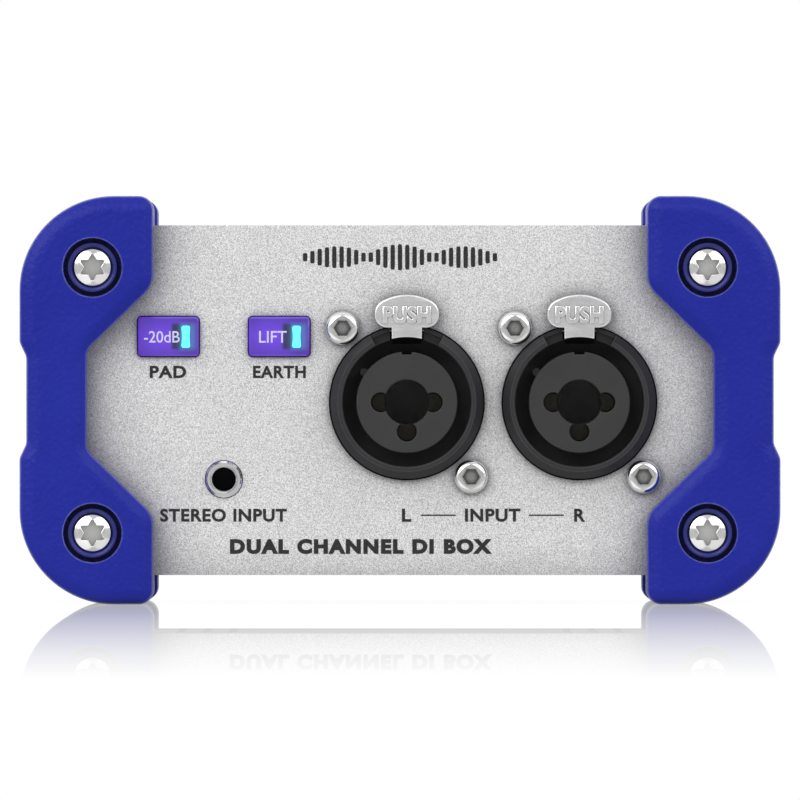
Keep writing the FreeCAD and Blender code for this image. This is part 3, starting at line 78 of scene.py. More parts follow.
# ------------------------------------------------------------------------------------------ shader building
class Finish:
    """A material with one principled shader, and short ways to feed its sockets with procedural detail."""

    def __init__(self, name, **values):
        self.material = bpy.data.materials.new(name)
        self.material.use_nodes = True
        self.tree = self.material.node_tree
        self.shader = self.tree.nodes["Principled BSDF"]
        self.place = self.tree.nodes.new("ShaderNodeTexCoord").outputs["Object"]
        for socket, value in values.items():
            self.shader.inputs[socket.replace("_", " ")].default_value = value

    def feed(self, socket, output):
        """Links an output to one of the shader's sockets."""
        self.tree.links.new(output, self.shader.inputs[socket])

    def node(self, kind, values=(), links=(), **settings):
        """Adds a node with its settings, the values of its sockets and what feeds them."""
        made = self.tree.nodes.new(kind)
        for setting, value in settings.items():
            setattr(made, setting, value)
        for socket, value in dict(values).items():
            made.inputs[socket].default_value = value
        for socket, output in dict(links).items():
            self.tree.links.new(output, made.inputs[socket])
        return made

    def noise(self, size, detail=2.0, roughness=0.5, stretch=None):
        """Noise between 0 and 1 with lumps of about that size, drawn out along the axes by stretch."""
        place = self.place
        if stretch:
            place = self.vector("MULTIPLY", place, stretch).outputs[0]
        values = {"Scale": 1 / size, "Detail": detail, "Roughness": roughness}
        return self.node("ShaderNodeTexNoise", values, {"Vector": place}).outputs["Fac"]

    def cells(self, size):
        """Rounded cells of about that size, like the creases of leather."""
        return self.node("ShaderNodeTexVoronoi", {"Scale": 1 / size}, {"Vector": self.place},
                         feature="SMOOTH_F1").outputs["Distance"]

    def stripes(self, size, axis, profile="SIN", distortion=0.0):
        """Bands of that width along an axis, between 0 and 1."""
        values = {"Scale": WAVE_PERIOD / size, "Distortion": distortion, "Detail": 2.0}
        return self.node("ShaderNodeTexWave", values, {"Vector": self.place}, bands_direction=axis,
                         wave_profile=profile).outputs["Fac"]

    def ramp(self, factor, *stops):
        """Turns a factor into a colour through stops of (place, red, green, blue) or (place, grey)."""
        made = self.node("ShaderNodeValToRGB", (), {"Fac": factor})
        elements = made.color_ramp.elements
        while len(elements) < len(stops):
            elements.new(1.0)
        for element, (place, *colour) in zip(elements, stops):
            element.position = place
            element.color = (*(colour if len(colour) == 3 else colour * 3), 1.0)
        return made.outputs["Color"]

    def blend(self, kind, first, second):
        """Combines two colours, such as by MULTIPLY or ADD."""
        made = self.node("ShaderNodeMix", {"Factor": 1.0}, {"A": first, "B": second},
                         data_type="RGBA", blend_type=kind)
        return made.outputs["Result"]

    def shaded(self, colour, reach, *stops):
        """The colour, times a ramp over how open the view is from a point, out to reach: painted shade in
        corners and hollows.
        """
        sky = self.node("ShaderNodeAmbientOcclusion", {"Distance": reach},
                        samples=SKY_SAMPLES).outputs["AO"]
        return self.blend("MULTIPLY", colour, self.ramp(sky, *stops))

    def math(self, operation, first, second):
        """One sum on two inputs, each a number or an output."""
        made = self.node("ShaderNodeMath", operation=operation)
        for socket, value in enumerate((first, second)):
            if isinstance(value, (int, float)):
                made.inputs[socket].default_value = value
            else:
                self.tree.links.new(value, made.inputs[socket])
        return made.outputs[0]

    def edges(self, radius):
        """1 along edges that are sharper than radius, and 0 elsewhere."""
        soft = self.node("ShaderNodeBevel", {"Radius": radius}, samples=EDGE_SAMPLES).outputs["Normal"]
        sharp = self.node("ShaderNodeNewGeometry").outputs["True Normal"]
        likeness = self.node("ShaderNodeVectorMath", (), {0: soft, 1: sharp}, operation="DOT_PRODUCT")
        return self.ramp(likeness.outputs["Value"], (0.88, 1.0), (0.975, 0.0))

    def vector(self, operation, first, second=None):
        """One vector sum on an output and, where it takes two, a fixed vector."""
        values = {1: second} if second else ()
        return self.node("ShaderNodeVectorMath", values, {0: first}, operation=operation)

    def distance(self, centre, spread):
        """How far a point is from centre, with each axis divided by that axis of spread."""
        moved = self.vector("SUBTRACT", self.place, centre).outputs[0]
        scaled = self.vector("DIVIDE", moved, spread).outputs[0]
        return self.vector("LENGTH", scaled).outputs["Value"]

    def beyond(self, centre, half_x, half_z, unit):
        """How far a point lies outside a rectangle in X and Z, in units. It is 0 inside."""
        moved = self.vector("SUBTRACT", self.place, centre).outputs[0]
        size = self.vector("ABSOLUTE", moved).outputs[0]
        over = self.vector("SUBTRACT", size, (half_x, 1.0, half_z)).outputs[0]
        outside = self.vector("MAXIMUM", over, (0.0, 0.0, 0.0)).outputs[0]
        return self.math("DIVIDE", self.vector("LENGTH", outside).outputs["Value"], unit)

    def behind(self, depth, unit):
        """How far a point lies behind that Y, in units."""
        y = self.node("ShaderNodeSeparateXYZ", (), {0: self.place}).outputs["Y"]
        return self.math("DIVIDE", self.math("SUBTRACT", y, depth), unit)

    def bump(self, height, depth, strength=1.0, under=None):
        """A normal pushed about by a height that spans depth, over the normal under it."""
        links = {"Height": height}
        if under:
            links["Normal"] = under
        return self.node("ShaderNodeBump", {"Strength": strength, "Distance": depth}, links).outputs["Normal"]


def silver(name):
    """Bead-blasted alloy: pale, with a crisp grain and a faint cloudiness, and painted shade that darkens it
    in corners.
    """
    made = Finish(name, Metallic=0.25, Specular_IOR_Level=0.35)
    grain = made.noise(0.15 * MM, 3.0, 0.6)
    patch = made.ramp(made.noise(9 * MM, 2.0), (0.3, 0.96), (0.7, 1.0))
    tone = made.ramp(grain, (0.30, 0.30, 0.30, 0.31), (0.50, 0.71, 0.705, 0.71), (0.68, 1.00, 0.99, 0.99))
    tone = made.blend("MULTIPLY", tone, patch)
    # Painted shade: darker where walls within 10 mm close in, tinted blue-grey by painted bounce light from
    # the bumpers.
    made.feed("Base Color", made.shaded(tone, 10 * MM, (0.3, 0.33, 0.33, 0.36), (0.6, 0.52, 0.52, 0.54),
                                        (0.8, 0.80), (0.96, 1.0)))
    made.feed("Roughness", made.ramp(grain, (0.3, 0.62), (0.7, 0.46)))
    made.feed("Normal", made.bump(grain, 0.07 * MM, 0.9))
    return made.material


def rubber(name):
    """Moulded blue rubber: a fine leather grain, semi-matt, with a painted highlight along its edges and
    painted shade in its hollows.
    """
    made = Finish(name, Specular_IOR_Level=0.20, Sheen_Weight=0.25, Sheen_Roughness=0.3)
    creases = made.cells(0.62 * MM)
    pores = made.noise(0.35 * MM, 3.0, 0.6)
    tone = made.ramp(made.noise(14 * MM, 3.0), (0.3, 0.009, 0.0160, 0.290), (0.7, 0.012, 0.0205, 0.325))
    # Painted highlight: a pale line along the sharper edges.
    rim_highlight = made.blend("MULTIPLY", made.edges(0.45 * MM),
                       made.ramp(pores, (0.3, 0.070, 0.075, 0.130), (0.7, 0.170, 0.175, 0.270)))
    tone = made.blend("ADD", tone, rim_highlight)
    # Painted shade: darker where walls within 2.5 mm close in.
    made.feed("Base Color", made.shaded(tone, 2.5 * MM, (0.1, 0.15), (0.5, 1.0)))
    made.feed("Roughness", made.ramp(pores, (0.3, 0.32), (0.7, 0.44)))
    made.feed("Normal", made.bump(pores, 0.04 * MM, 0.8, made.bump(creases, 0.10 * MM, 0.8)))
    return made.material


def moulded(name, dark, light, roughness, reach=1.2 * MM, edge_glint=0.0, recess=()):
    """Moulded plastic with a spark-eroded texture, with painted shade in corners and, where asked, a painted
    highlight along its edges.

    It darkens by recess, stops over the first 20 mm behind the bezels' fronts: painted shade in the recesses.
    """
    made = Finish(name, Specular_IOR_Level=0.4)
    pores = made.noise(0.18 * MM, 2.0)
    tone = made.ramp(made.noise(5 * MM, 3.0), (0.3, *dark), (0.7, *light))
    if edge_glint:
        # Painted highlight: a paler line along the sharper edges.
        edge = made.blend("MULTIPLY", made.edges(0.18 * MM), made.ramp(pores, (0.3, edge_glint), (0.7, edge_glint * 1.3)))
        tone = made.blend("ADD", tone, edge)
    if recess:
        # Painted shade, set by depth behind the bezels' fronts.
        depth = made.behind(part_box("combo_shell_left")[0].y, 20 * MM)
        tone = made.blend("MULTIPLY", tone, made.ramp(depth, *recess))
    # Painted shade where walls within reach close in.
    made.feed("Base Color", made.shaded(tone, reach, (0.2, 0.2), (0.7, 0.62), (0.92, 1.0)))
    made.feed("Roughness", made.ramp(pores, (0.3, roughness - 0.06), (0.7, roughness + 0.06)))
    made.feed("Normal", made.bump(pores, 0.012 * MM, 0.6))
    return made.material


def socket_face(name):
    """Dark grey moulded contact block, with painted light that makes it paler deep in its bores, a painted
    highlight along its edges and painted shade in corners.
    """
    made = Finish(name, Specular_IOR_Level=0.4)
    pores = made.noise(0.18 * MM, 2.0)
    tone = made.ramp(made.noise(5 * MM, 3.0), (0.3, 0.85), (0.7, 1.0))
    # The block's own grey at its face, then painted fill light that makes it paler deeper in its bores.
    face_grey_and_painted_fill = made.ramp(made.behind(panel_face, 30 * MM), (0.1, 0.031), (0.35, 0.13), (0.5, 0.15), (0.9, 0.70))
    # Painted highlight along the sharper edges.
    edge = made.blend("MULTIPLY", made.edges(0.12 * MM), made.ramp(pores, (0.3, 0.05), (0.7, 0.07)))
    tone = made.blend("ADD", made.blend("MULTIPLY", tone, face_grey_and_painted_fill), edge)
    # Painted shade where walls within 0.8 mm close in.
    made.feed("Base Color", made.shaded(tone, 0.8 * MM, (0.2, 0.3), (0.6, 1.0)))
    made.feed("Roughness", made.ramp(pores, (0.3, 0.46), (0.7, 0.58)))
    made.feed("Normal", made.bump(pores, 0.012 * MM, 0.6))
    return made.material


def metal(name, dark, light, smooth, rough, grain=0.5 * MM, stretch=None, reach=0.0, closed=()):
    """Plated or unplated metal with fine handling marks. It darkens by closed where its surroundings close
    in, as painted shade.
    """
    made = Finish(name, Metallic=1.0)
    marks = made.noise(grain, 4.0, 0.65, stretch)
    tone = made.ramp(made.noise(3 * MM, 2.0), (0.3, *dark), (0.7, *light))
    if reach:
        # Painted shade in sockets, bores and around raised letters.
        tone = made.shaded(tone, reach, *closed)
    made.feed("Base Color", tone)
    made.feed("Roughness", made.ramp(marks, (0.35, smooth), (0.7, rough)))
    made.feed("Normal", made.bump(marks, 0.0008 * MM, 0.5))
    return made.material


def laminated(name):
    """Transformer core: a stack of varnished laminations."""
    made = Finish(name, Metallic=0.7)
    sheets = made.stripes(0.5 * MM, "Y")
    made.feed("Base Color", made.ramp(sheets, (0.1, 0.10, 0.10, 0.11), (0.6, 0.32, 0.32, 0.33)))
    made.feed("Roughness", made.ramp(made.noise(0.8 * MM), (0.3, 0.4), (0.7, 0.6)))
    made.feed("Normal", made.bump(sheets, 0.06 * MM, 0.8))
    return made.material


def board(name):
    """Circuit board: green mask over a faint pattern of copper."""
    made = Finish(name, Coat_Weight=0.4, Coat_Roughness=0.15)
    tracks = made.stripes(2.2 * MM, "X", "SAW", 3.0)
    made.feed("Base Color", made.ramp(tracks, (0.44, 0.012, 0.115, 0.050), (0.50, 0.030, 0.190, 0.085)))
    made.feed("Roughness", made.ramp(made.noise(0.6 * MM), (0.3, 0.34), (0.7, 0.46)))
    made.feed("Normal", made.bump(tracks, 0.03 * MM, 0.5))
    return made.material


def wound(name):
    """Taped coil winding."""
    made = Finish(name)
    turns = made.stripes(1.1 * MM, "Z", distortion=0.6)
    made.feed("Base Color", made.ramp(turns, (0.2, 0.30, 0.16, 0.03), (0.8, 0.55, 0.36, 0.09)))
    made.feed("Roughness", made.ramp(made.noise(0.7 * MM), (0.3, 0.35), (0.7, 0.5)))
    made.feed("Normal", made.bump(turns, 0.05 * MM, 0.6))
    return made.material


def banded(name):
    """Film resistors with their painted bands."""
    made = Finish(name, Coat_Weight=0.5, Coat_Roughness=0.12)
    bands = made.stripes(0.85 * MM, "Y")
    made.feed("Base Color", made.ramp(bands, (0.70, 0.28, 0.42, 0.52), (0.86, 0.16, 0.06, 0.02)))
    made.feed("Roughness", made.ramp(made.noise(0.4 * MM), (0.3, 0.3), (0.7, 0.42)))
    return made.material


def lit_cap(name, cap, light):
    """Translucent purple cap, lit from inside by painted light: a painted bright rim, a painted cyan glow and
    a painted shadow beside its light bar.
    """
    made = Finish(name, Specular_IOR_Level=0.5, Coat_Weight=0.3, Coat_Roughness=0.08, Emission_Strength=1.0)
    low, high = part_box(cap)
    centre, half = (low + high) / 2, (high - low) / 2
    lamp_low, lamp_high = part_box(light)
    lamp, lamp_half = (lamp_low + lamp_high) / 2, (lamp_high - lamp_low) / 2
    cloud = made.noise(2.5 * MM, 2.0)
    smoke = made.ramp(cloud, (0.3, 0.92), (0.7, 1.0))
    # Distance from a point left of the middle, for the base colour and the painted inner glow.
    heart = made.distance(centre - Vector((half.x * 0.2, 0, 0)), (half.x * 1.24, 1.0, half.z * 1.24))
    # Painted shadow of the lamp's housing beside the light bar.
    patch_gap, patch_half_width, patch_half_height = 0.60 * MM, 0.45 * MM, 1.72 * MM
    patch_at = (lamp.x - lamp_half.x - patch_gap, lamp.y, lamp.z)
    patch = made.beyond(patch_at, patch_half_width, patch_half_height, 0.45 * MM)
    shade = made.ramp(patch, (0.0, 0.26, 0.62, 0.20), (1.0, 1.0, 1.0, 1.0))
    # Painted light: a bright rim along the cap's edges.
    rim_width = 0.36 * MM
    rim = made.beyond(centre, half.x - rim_width, half.z - rim_width, rim_width)
    edge = made.ramp(rim, (0.1, 0.0), (0.4, 0.070, 0.024, 0.300), (0.6, 0.050, 0.018, 0.220), (0.95, 0.0))
    body = made.ramp(heart, (0.0, 0.125, 0.052, 0.560), (0.95, 0.075, 0.036, 0.340))
    tone = made.blend("MULTIPLY", made.blend("MULTIPLY", body, smoke), shade)
    # Painted inner glow, brighter towards the middle and dimmed by the painted shadow.
    inner = made.ramp(heart, (0.0, 0.062, 0.016, 0.330), (0.95, 0.014, 0.004, 0.080))
    inner = made.blend("MULTIPLY", inner, shade)
    # Painted cyan glow round the light bar.
    halo_shift, halo_reach = 0.30 * MM, 0.95 * MM
    halo_at = (lamp.x + halo_shift, lamp.y, lamp.z)
    halo = made.beyond(halo_at, lamp_half.x, lamp_half.z - halo_shift, halo_reach)
    glow = made.ramp(halo, (0.1, 0.0, 0.120, 0.040), (0.5, 0.0, 0.060, 0.020), (1.0, 0.0, 0.0, 0.0))
    made.feed("Base Color", tone)
    made.feed("Emission Color", made.blend("ADD", made.blend("ADD", inner, edge), glow))
    made.feed("Roughness", made.ramp(cloud, (0.3, 0.16), (0.7, 0.24)))
    return made.material


def light_bar(name, base, glow):
    """Translucent light guide that carries the lamp's cyan light."""
    made = Finish(name, Roughness=0.3, Emission_Strength=1.0)
    cloud = made.noise(1.2 * MM, 2.0)
    for socket, colour in (("Base Color", base), ("Emission Color", glow)):
        brighter = [1.08 * part for part in colour]
        made.feed(socket, made.ramp(cloud, (0.3, *colour), (0.7, *brighter)))
    return made.material


def ink(name, dark, light, roughness=0.5, emission=0.0):
    """Screen-printed ink, slightly uneven over the grain under it."""
    # Where emission is given, it is a painted glow.
    made = Finish(name, Specular_IOR_Level=0.3, Emission_Strength=emission)
    cloud = made.noise(0.4 * MM, 3.0)
    colour = made.ramp(cloud, (0.3, *dark), (0.7, *light))
    made.feed("Base Color", colour)
    made.feed("Emission Color", colour)
    made.feed("Roughness", made.ramp(cloud, (0.3, roughness - 0.08), (0.7, roughness + 0.08)))
    made.feed("Normal", made.bump(cloud, 0.008 * MM, 0.5))
    return made.material


def make_finishes():
    """One material for each of the record's material slots, and one for screws with deep sockets, by name."""
    across = (0.2, 0.2, 1.0)
    # Stops of painted shade: by how open a point's surroundings are, or for notched by how far behind the
    # bezels' fronts it lies.
    shallow = ((0.3, 0.55), (0.85, 0.95), (0.95, 1.0))
    sunk = ((0.4, 0.10), (0.7, 0.36), (0.78, 0.60), (0.86, 0.93), (0.95, 1.0))
    deep = ((0.45, 0.055), (0.8, 0.4), (0.95, 1.0))
    lettered = ((0.35, 0.38), (0.80, 0.94), (0.95, 1.0))
    notched = ((0.06, 1.0), (0.08, 0.32), (0.5, 0.32), (0.8, 1.0))
    return {
        "case_silver": silver("case_silver"),
        "panel_silver": silver("panel_silver"),
        "bumper_blue": rubber("bumper_blue"),
        "ferrule_blue": moulded("ferrule_blue", (0.016, 0.020, 0.190), (0.022, 0.026, 0.225), 0.30,
                                0.6 * MM),
        "screw_steel": metal("screw_steel", (0.84, 0.84, 0.83), (0.92, 0.92, 0.91), 0.08, 0.18,
                             reach=1.5 * MM, closed=shallow),
        "recessed_steel": metal("recessed_steel", (0.84, 0.84, 0.83), (0.92, 0.92, 0.91), 0.08, 0.18,
                                reach=1.5 * MM, closed=sunk),
        "connector_black": moulded("connector_black", (0.016, 0.016, 0.018), (0.021, 0.021, 0.023), 0.46,
                                   3 * MM, 0.06, notched),
        "insert_grey": socket_face("insert_grey"),
        "contact_plated": metal("contact_plated", (0.66, 0.62, 0.50), (0.76, 0.72, 0.60), 0.16, 0.30,
                                reach=8 * MM, closed=deep),
        "lever_steel": metal("lever_steel", (0.88, 0.88, 0.88), (0.97, 0.97, 0.97), 0.20, 0.32, 0.6 * MM,
                             across, 0.5 * MM, lettered),
        "spring_steel": metal("spring_steel", (0.50, 0.50, 0.51), (0.60, 0.60, 0.61), 0.22, 0.38),
        "light_cyan": light_bar("light_cyan", (0.03, 0.10, 0.20), (0.035, 0.090, 0.240)),
        "nylon_white": moulded("nylon_white", (0.70, 0.70, 0.67), (0.78, 0.78, 0.75), 0.45),
        "jack_chrome": metal("jack_chrome", (0.95, 0.95, 0.96), (1.00, 1.00, 1.00), 0.08, 0.20),
        "board_green": board("board_green"),
        "core_grey": laminated("core_grey"),
        "coil_amber": wound("coil_amber"),
        "can_dark": moulded("can_dark", (0.012, 0.016, 0.040), (0.020, 0.026, 0.060), 0.35),
        "film_red": moulded("film_red", (0.36, 0.035, 0.020), (0.46, 0.055, 0.030), 0.28),
        "chip_black": moulded("chip_black", (0.016, 0.016, 0.017), (0.024, 0.024, 0.025), 0.60),
        "resistor_tan": banded("resistor_tan"),
        "solder_bright": metal("solder_bright", (0.58, 0.58, 0.58), (0.72, 0.72, 0.72), 0.18, 0.40, 0.3 * MM),
    }


def dress_nodes(finishes):
    """Gives every CAD node the finish of its slot. Each button cap's painted light is placed by its own light
    pipe.
    """
    for part in frame["record"]["subparts"]:
        node = frame["nodes"][part["node"]]
        slot = part["material_slot"]
        if slot == "button_purple":
            side = part["node"].split("_")[0]
            finish = lit_cap(f"{side}_cap_finish", part["node"], f"{side}_light_pipe")
        elif part["node"] == "combo_screws":
            finish = finishes["recessed_steel"]
        else:
            finish = finishes[slot]
        node.data.materials.clear()
        node.data.materials.append(finish)


# ------------------------------------------------------------------------------------------------ flat pieces
ROOT = 0.01 * MM  # how far raised pieces reach into the face they stand on


def add_piece(name, mesh, material, body):
    """A named object of that mesh, which moves with a body and wears that material."""
    piece = bpy.data.objects.new(name, mesh)
    mesh.materials.clear()
    mesh.materials.append(material)
    bpy.context.scene.collection.objects.link(piece)
    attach(piece, body)
    return piece


def plates(name, outlines, back, front):
    """A mesh of flat plates between two depths. Each outline runs round its plate in X and Z."""
    build = bmesh.new()
    for outline in outlines:
        rims = [[build.verts.new((x, y, z)) for x, z in outline] for y in (back, front)]
        build.faces.new(reversed(rims[0]))
        build.faces.new(rims[1])
        for i, (a, b) in enumerate(zip(*rims)):
            build.faces.new((rims[0][i - 1], a, b, rims[1][i - 1]))
    bmesh.ops.recalc_face_normals(build, faces=build.faces)
    mesh = bpy.data.meshes.new(name)
    build.to_mesh(mesh)
    build.free()
    return mesh


def rounded(x, z, half_width, half_height, squareness=5.0, count=24):
    """A rounded rectangle."""
    outline = []
    for step in range(count):
        turn = 2 * math.pi * step / count
        across, up = math.cos(turn), math.sin(turn)
        u = math.copysign(abs(across) ** (2 / squareness), across)
        v = math.copysign(abs(up) ** (2 / squareness), up)
        outline.append((x + half_width * u, z + half_height * v))
    return outline


def pinched(x, z, half_width, half_height, waist, corner, count=28):
    """A bar with round corners whose sides draw in by waist halfway up."""
    side = []
    for step in range(count + 1):
        up = math.sin(math.pi * (step / count - 0.5))
        past = max(0.0, (abs(up) - 1) * half_height / corner + 1)
        reach = half_width - waist * (1 - up * up) - corner * (1 - math.sqrt(1 - past * past))
        side.append((reach, half_height * up))
    return [(x + u, z + v) for u, v in side] + [(x - u, z + v) for u, v in reversed(side)]


def words_mesh(words, weight, spacing, bevel):
    """Words in the built-in font, as a mesh in its own flat frame."""
    curve = bpy.data.curves.new("words", "FONT")
    curve.body = words
    curve.offset = weight
    curve.extrude = 0.05
    curve.bevel_depth = bevel
    curve.bevel_resolution = 1
    curve.resolution_u = 5
    curve.space_character = spacing
    source = bpy.data.objects.new("words", curve)
    bpy.context.scene.collection.objects.link(source)
    evaluated = source.evaluated_get(bpy.context.evaluated_depsgraph_get())
    mesh = bpy.data.meshes.new_from_object(evaluated)
    bpy.data.objects.remove(source)
    bpy.data.curves.remove(curve)
    return mesh


def lettering(name, words, spot, face, height, material, body, side=FRONT,
              weight=0.0, spacing=1.0, bevel=0.0):
    """Raised words that fill spot, (left, right, low, high), on the flat face at that Y."""
    mesh = words_mesh(words, weight, spacing, bevel)
    build = bmesh.new()
    build.from_mesh(mesh)
    bmesh.ops.remove_doubles(build, verts=build.verts, dist=1e-5)
    low = [min(v.co[axis] for v in build.verts) for axis in range(3)]
    high = [max(v.co[axis] for v in build.verts) for axis in range(3)]
    left, right, bottom, top = spot
    for vertex in build.verts:
        u, v, w = ((vertex.co[axis] - low[axis]) / (high[axis] - low[axis]) for axis in range(3))
        across = left + u * (right - left) if side == FRONT else right - u * (right - left)
        depth = face + side * (w * (height + ROOT) - ROOT)
        vertex.co = (across, depth, bottom + v * (top - bottom))
    build.to_mesh(mesh)
    build.free()
    return add_piece(name, mesh, material, body)


# --------------------------------------------------------------------------------------------------- printing
PRINT_HEIGHT = 0.03 * MM
REAR_LETTERS = 1.9
PRINT_WEIGHT = 0.032
TITLE_WEIGHT = 0.06
TITLE_SPACING = 1.2
PRINT_SPACING = 1.1


def spot_at(left, right, low, high):
    """A printing area given in millimetres from the middle of a panel, as metres in the row frame."""
    return (left * MM, right * MM, panel_middle + low * MM, panel_middle + high * MM)


def print_front(dark):
    """Legends, rules and level bars on the front panel."""
    legends = [  # name, words, area, weight, spacing
        ("legend_pad", "PAD", (-38.5, -32.9, 3.4, 5.3), PRINT_WEIGHT, PRINT_SPACING),
        ("legend_earth", "EARTH", (-22.6, -14.5, 3.4, 5.3), PRINT_WEIGHT, PRINT_SPACING),
        ("legend_stereo_input", "STEREO INPUT", (-36.9, -17.4, -18.7, -16.7), PRINT_WEIGHT, PRINT_SPACING),
        ("legend_left", "L", (0.3, 1.7, -18.7, -16.7), PRINT_WEIGHT, PRINT_SPACING),
        ("legend_input", "INPUT", (10.0, 18.5, -18.7, -16.7), PRINT_WEIGHT, PRINT_SPACING),
        ("legend_right", "R", (26.8, 28.5, -18.7, -16.7), PRINT_WEIGHT, PRINT_SPACING),
        ("legend_title", "DUAL CHANNEL DI BOX", (-26.15, 14.15, -23.66, -21.35), TITLE_WEIGHT, TITLE_SPACING),
    ]
    for name, words, area, weight, spacing in legends:
        lettering(name, words, spot_at(*area), panel_face, PRINT_HEIGHT, dark,
                  "chassis", weight=weight, spacing=spacing)
    rule_height, rule_z = 0.1 * MM, panel_middle - 17.7 * MM
    rules = [rounded((left + right) / 2 * MM, rule_z, (right - left) / 2 * MM, rule_height, 12.0)
             for left, right in ((3.2, 8.6), (19.85, 25.2))]
    mesh = plates("legend_rules", rules, panel_face + ROOT, panel_face - PRINT_HEIGHT)
    add_piece("legend_rules", mesh, dark, "chassis")
    bars = []
    count, half_span, half_width, tallest, centre = 27, 14.6, 0.33, 2.0, panel_middle + 22.0 * MM
    least, beat, fade = 0.22, 4.5, 0.45
    for i in range(count):
        along = i / (count - 1) * 2 - 1
        swing = least + (1 - least) * abs(math.cos(beat * along)) * (1 - fade * along * along)
        bars.append(rounded(along * half_span * MM, centre, half_width * MM, tallest * swing * MM, 6.0))
    mesh = plates("level_bars", bars, panel_face + ROOT, panel_face - PRINT_HEIGHT)
    add_piece("level_bars", mesh, dark, "chassis")


def print_rear(dark):
    """Plain names and channel letters of the rear connectors."""
    for words, side, node, half, above, below in (("OUTPUT", "left", "output_shell", 4.6, 17.6, -20.4),
                                                  ("OUTPUT", "right", "output_shell", 4.6, 17.6, -20.4),
                                                  ("LINK", "left", "link_jack", 2.7, 9.6, -11.5),
                                                  ("LINK", "right", "link_jack", 2.7, 9.6, -11.5)):
        middle, kind, letter = middle_of(f"{node}_{side}").x / MM, words.lower(), side[0].upper()
        for name, text, reach, low in ((f"legend_{kind}_{side}", words, half, above),
                                       (f"legend_{kind}_{letter}", letter, 0.7, below)):
            area = spot_at(middle - reach, middle + reach, low, low + REAR_LETTERS)
            lettering(name, text, area, rear_face, PRINT_HEIGHT, dark, "chassis", REAR,
                      PRINT_WEIGHT)


def dress_buttons(lilac, lens):
    """On each cap: its legend, and the pinched lens over the end of its light pipe."""
    legend_height, lens_height = 0.025 * MM, 0.06 * MM
    waist, corner = 0.16 * MM, 0.45 * MM
    for side, words, left, right in (("pad", "-20dB", -3.75, 1.75), ("earth", "LIFT", -3.1, 1.15)):
        body = f"{side}_button"
        low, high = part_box(f"{side}_button_cap")
        middle = (low + high) / 2
        lamp_low, lamp_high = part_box(f"{side}_light_pipe")
        lamp = (lamp_low + lamp_high) / 2
        area = (middle.x + left * MM, middle.x + right * MM, middle.z - 0.95 * MM, middle.z + 0.85 * MM)
        lettering(f"{side}_legend", words, area, low.y, legend_height, lilac, body,
                  weight=0.008)
        half_width = (lamp_high.x - lamp_low.x) / 2 - 0.05 * MM
        half_height = (lamp_high.z - lamp_low.z) / 2 - 0.07 * MM
        bar = pinched(lamp.x + 0.07 * MM, lamp.z - 0.04 * MM, half_width, half_height, waist, corner)
        mesh = plates(f"{side}_lens", [bar], low.y + ROOT, low.y - lens_height)
        add_piece(f"{side}_lens", mesh, lens, body)


EMBOSS_HEIGHT = 0.28 * MM


def emboss_levers(steel):
    """The word raised on each release tab."""
    for side in ("left", "right"):
        low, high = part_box(f"release_tab_{side}")
        middle = (low.x + high.x) / 2
        area = (middle - 3.7 * MM, middle + 3.7 * MM, high.z - 4.45 * MM, high.z - 1.75 * MM)
        lettering(f"lever_word_{side}", "PUSH", area, low.y, EMBOSS_HEIGHT, steel, f"{side}_lever",
                  weight=0.03, spacing=1.05, bevel=0.03)


def flex_springs(steel):
    """Copies of the springs in spring steel, held at rest in place of the CAD springs, which are hidden."""
    springs = [(f"{side}_button_spring", f"{side}_button", 0.0, 1.0) for side in ("pad", "earth")]
    springs += [(f"lever_spring_{side}", f"{side}_lever", 0.5, 0.8) for side in ("left", "right")]
    for node, body, start, end in springs:
        piece = bpy.data.objects.new(f"{node}_flexing", frame["nodes"][node].data.copy())
        piece.data.materials.clear()
        piece.data.materials.append(steel)
        bpy.context.scene.collection.objects.link(piece)
        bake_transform(piece)
        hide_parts(node)


# ------------------------------------------------------------------------------------------ studio and camera
CAMERA_DISTANCE = 5.5
VIEW_WIDTH = 123.08 * MM
REFLECTION_REACH = 1.55
FLOOR_REACH = 20.0


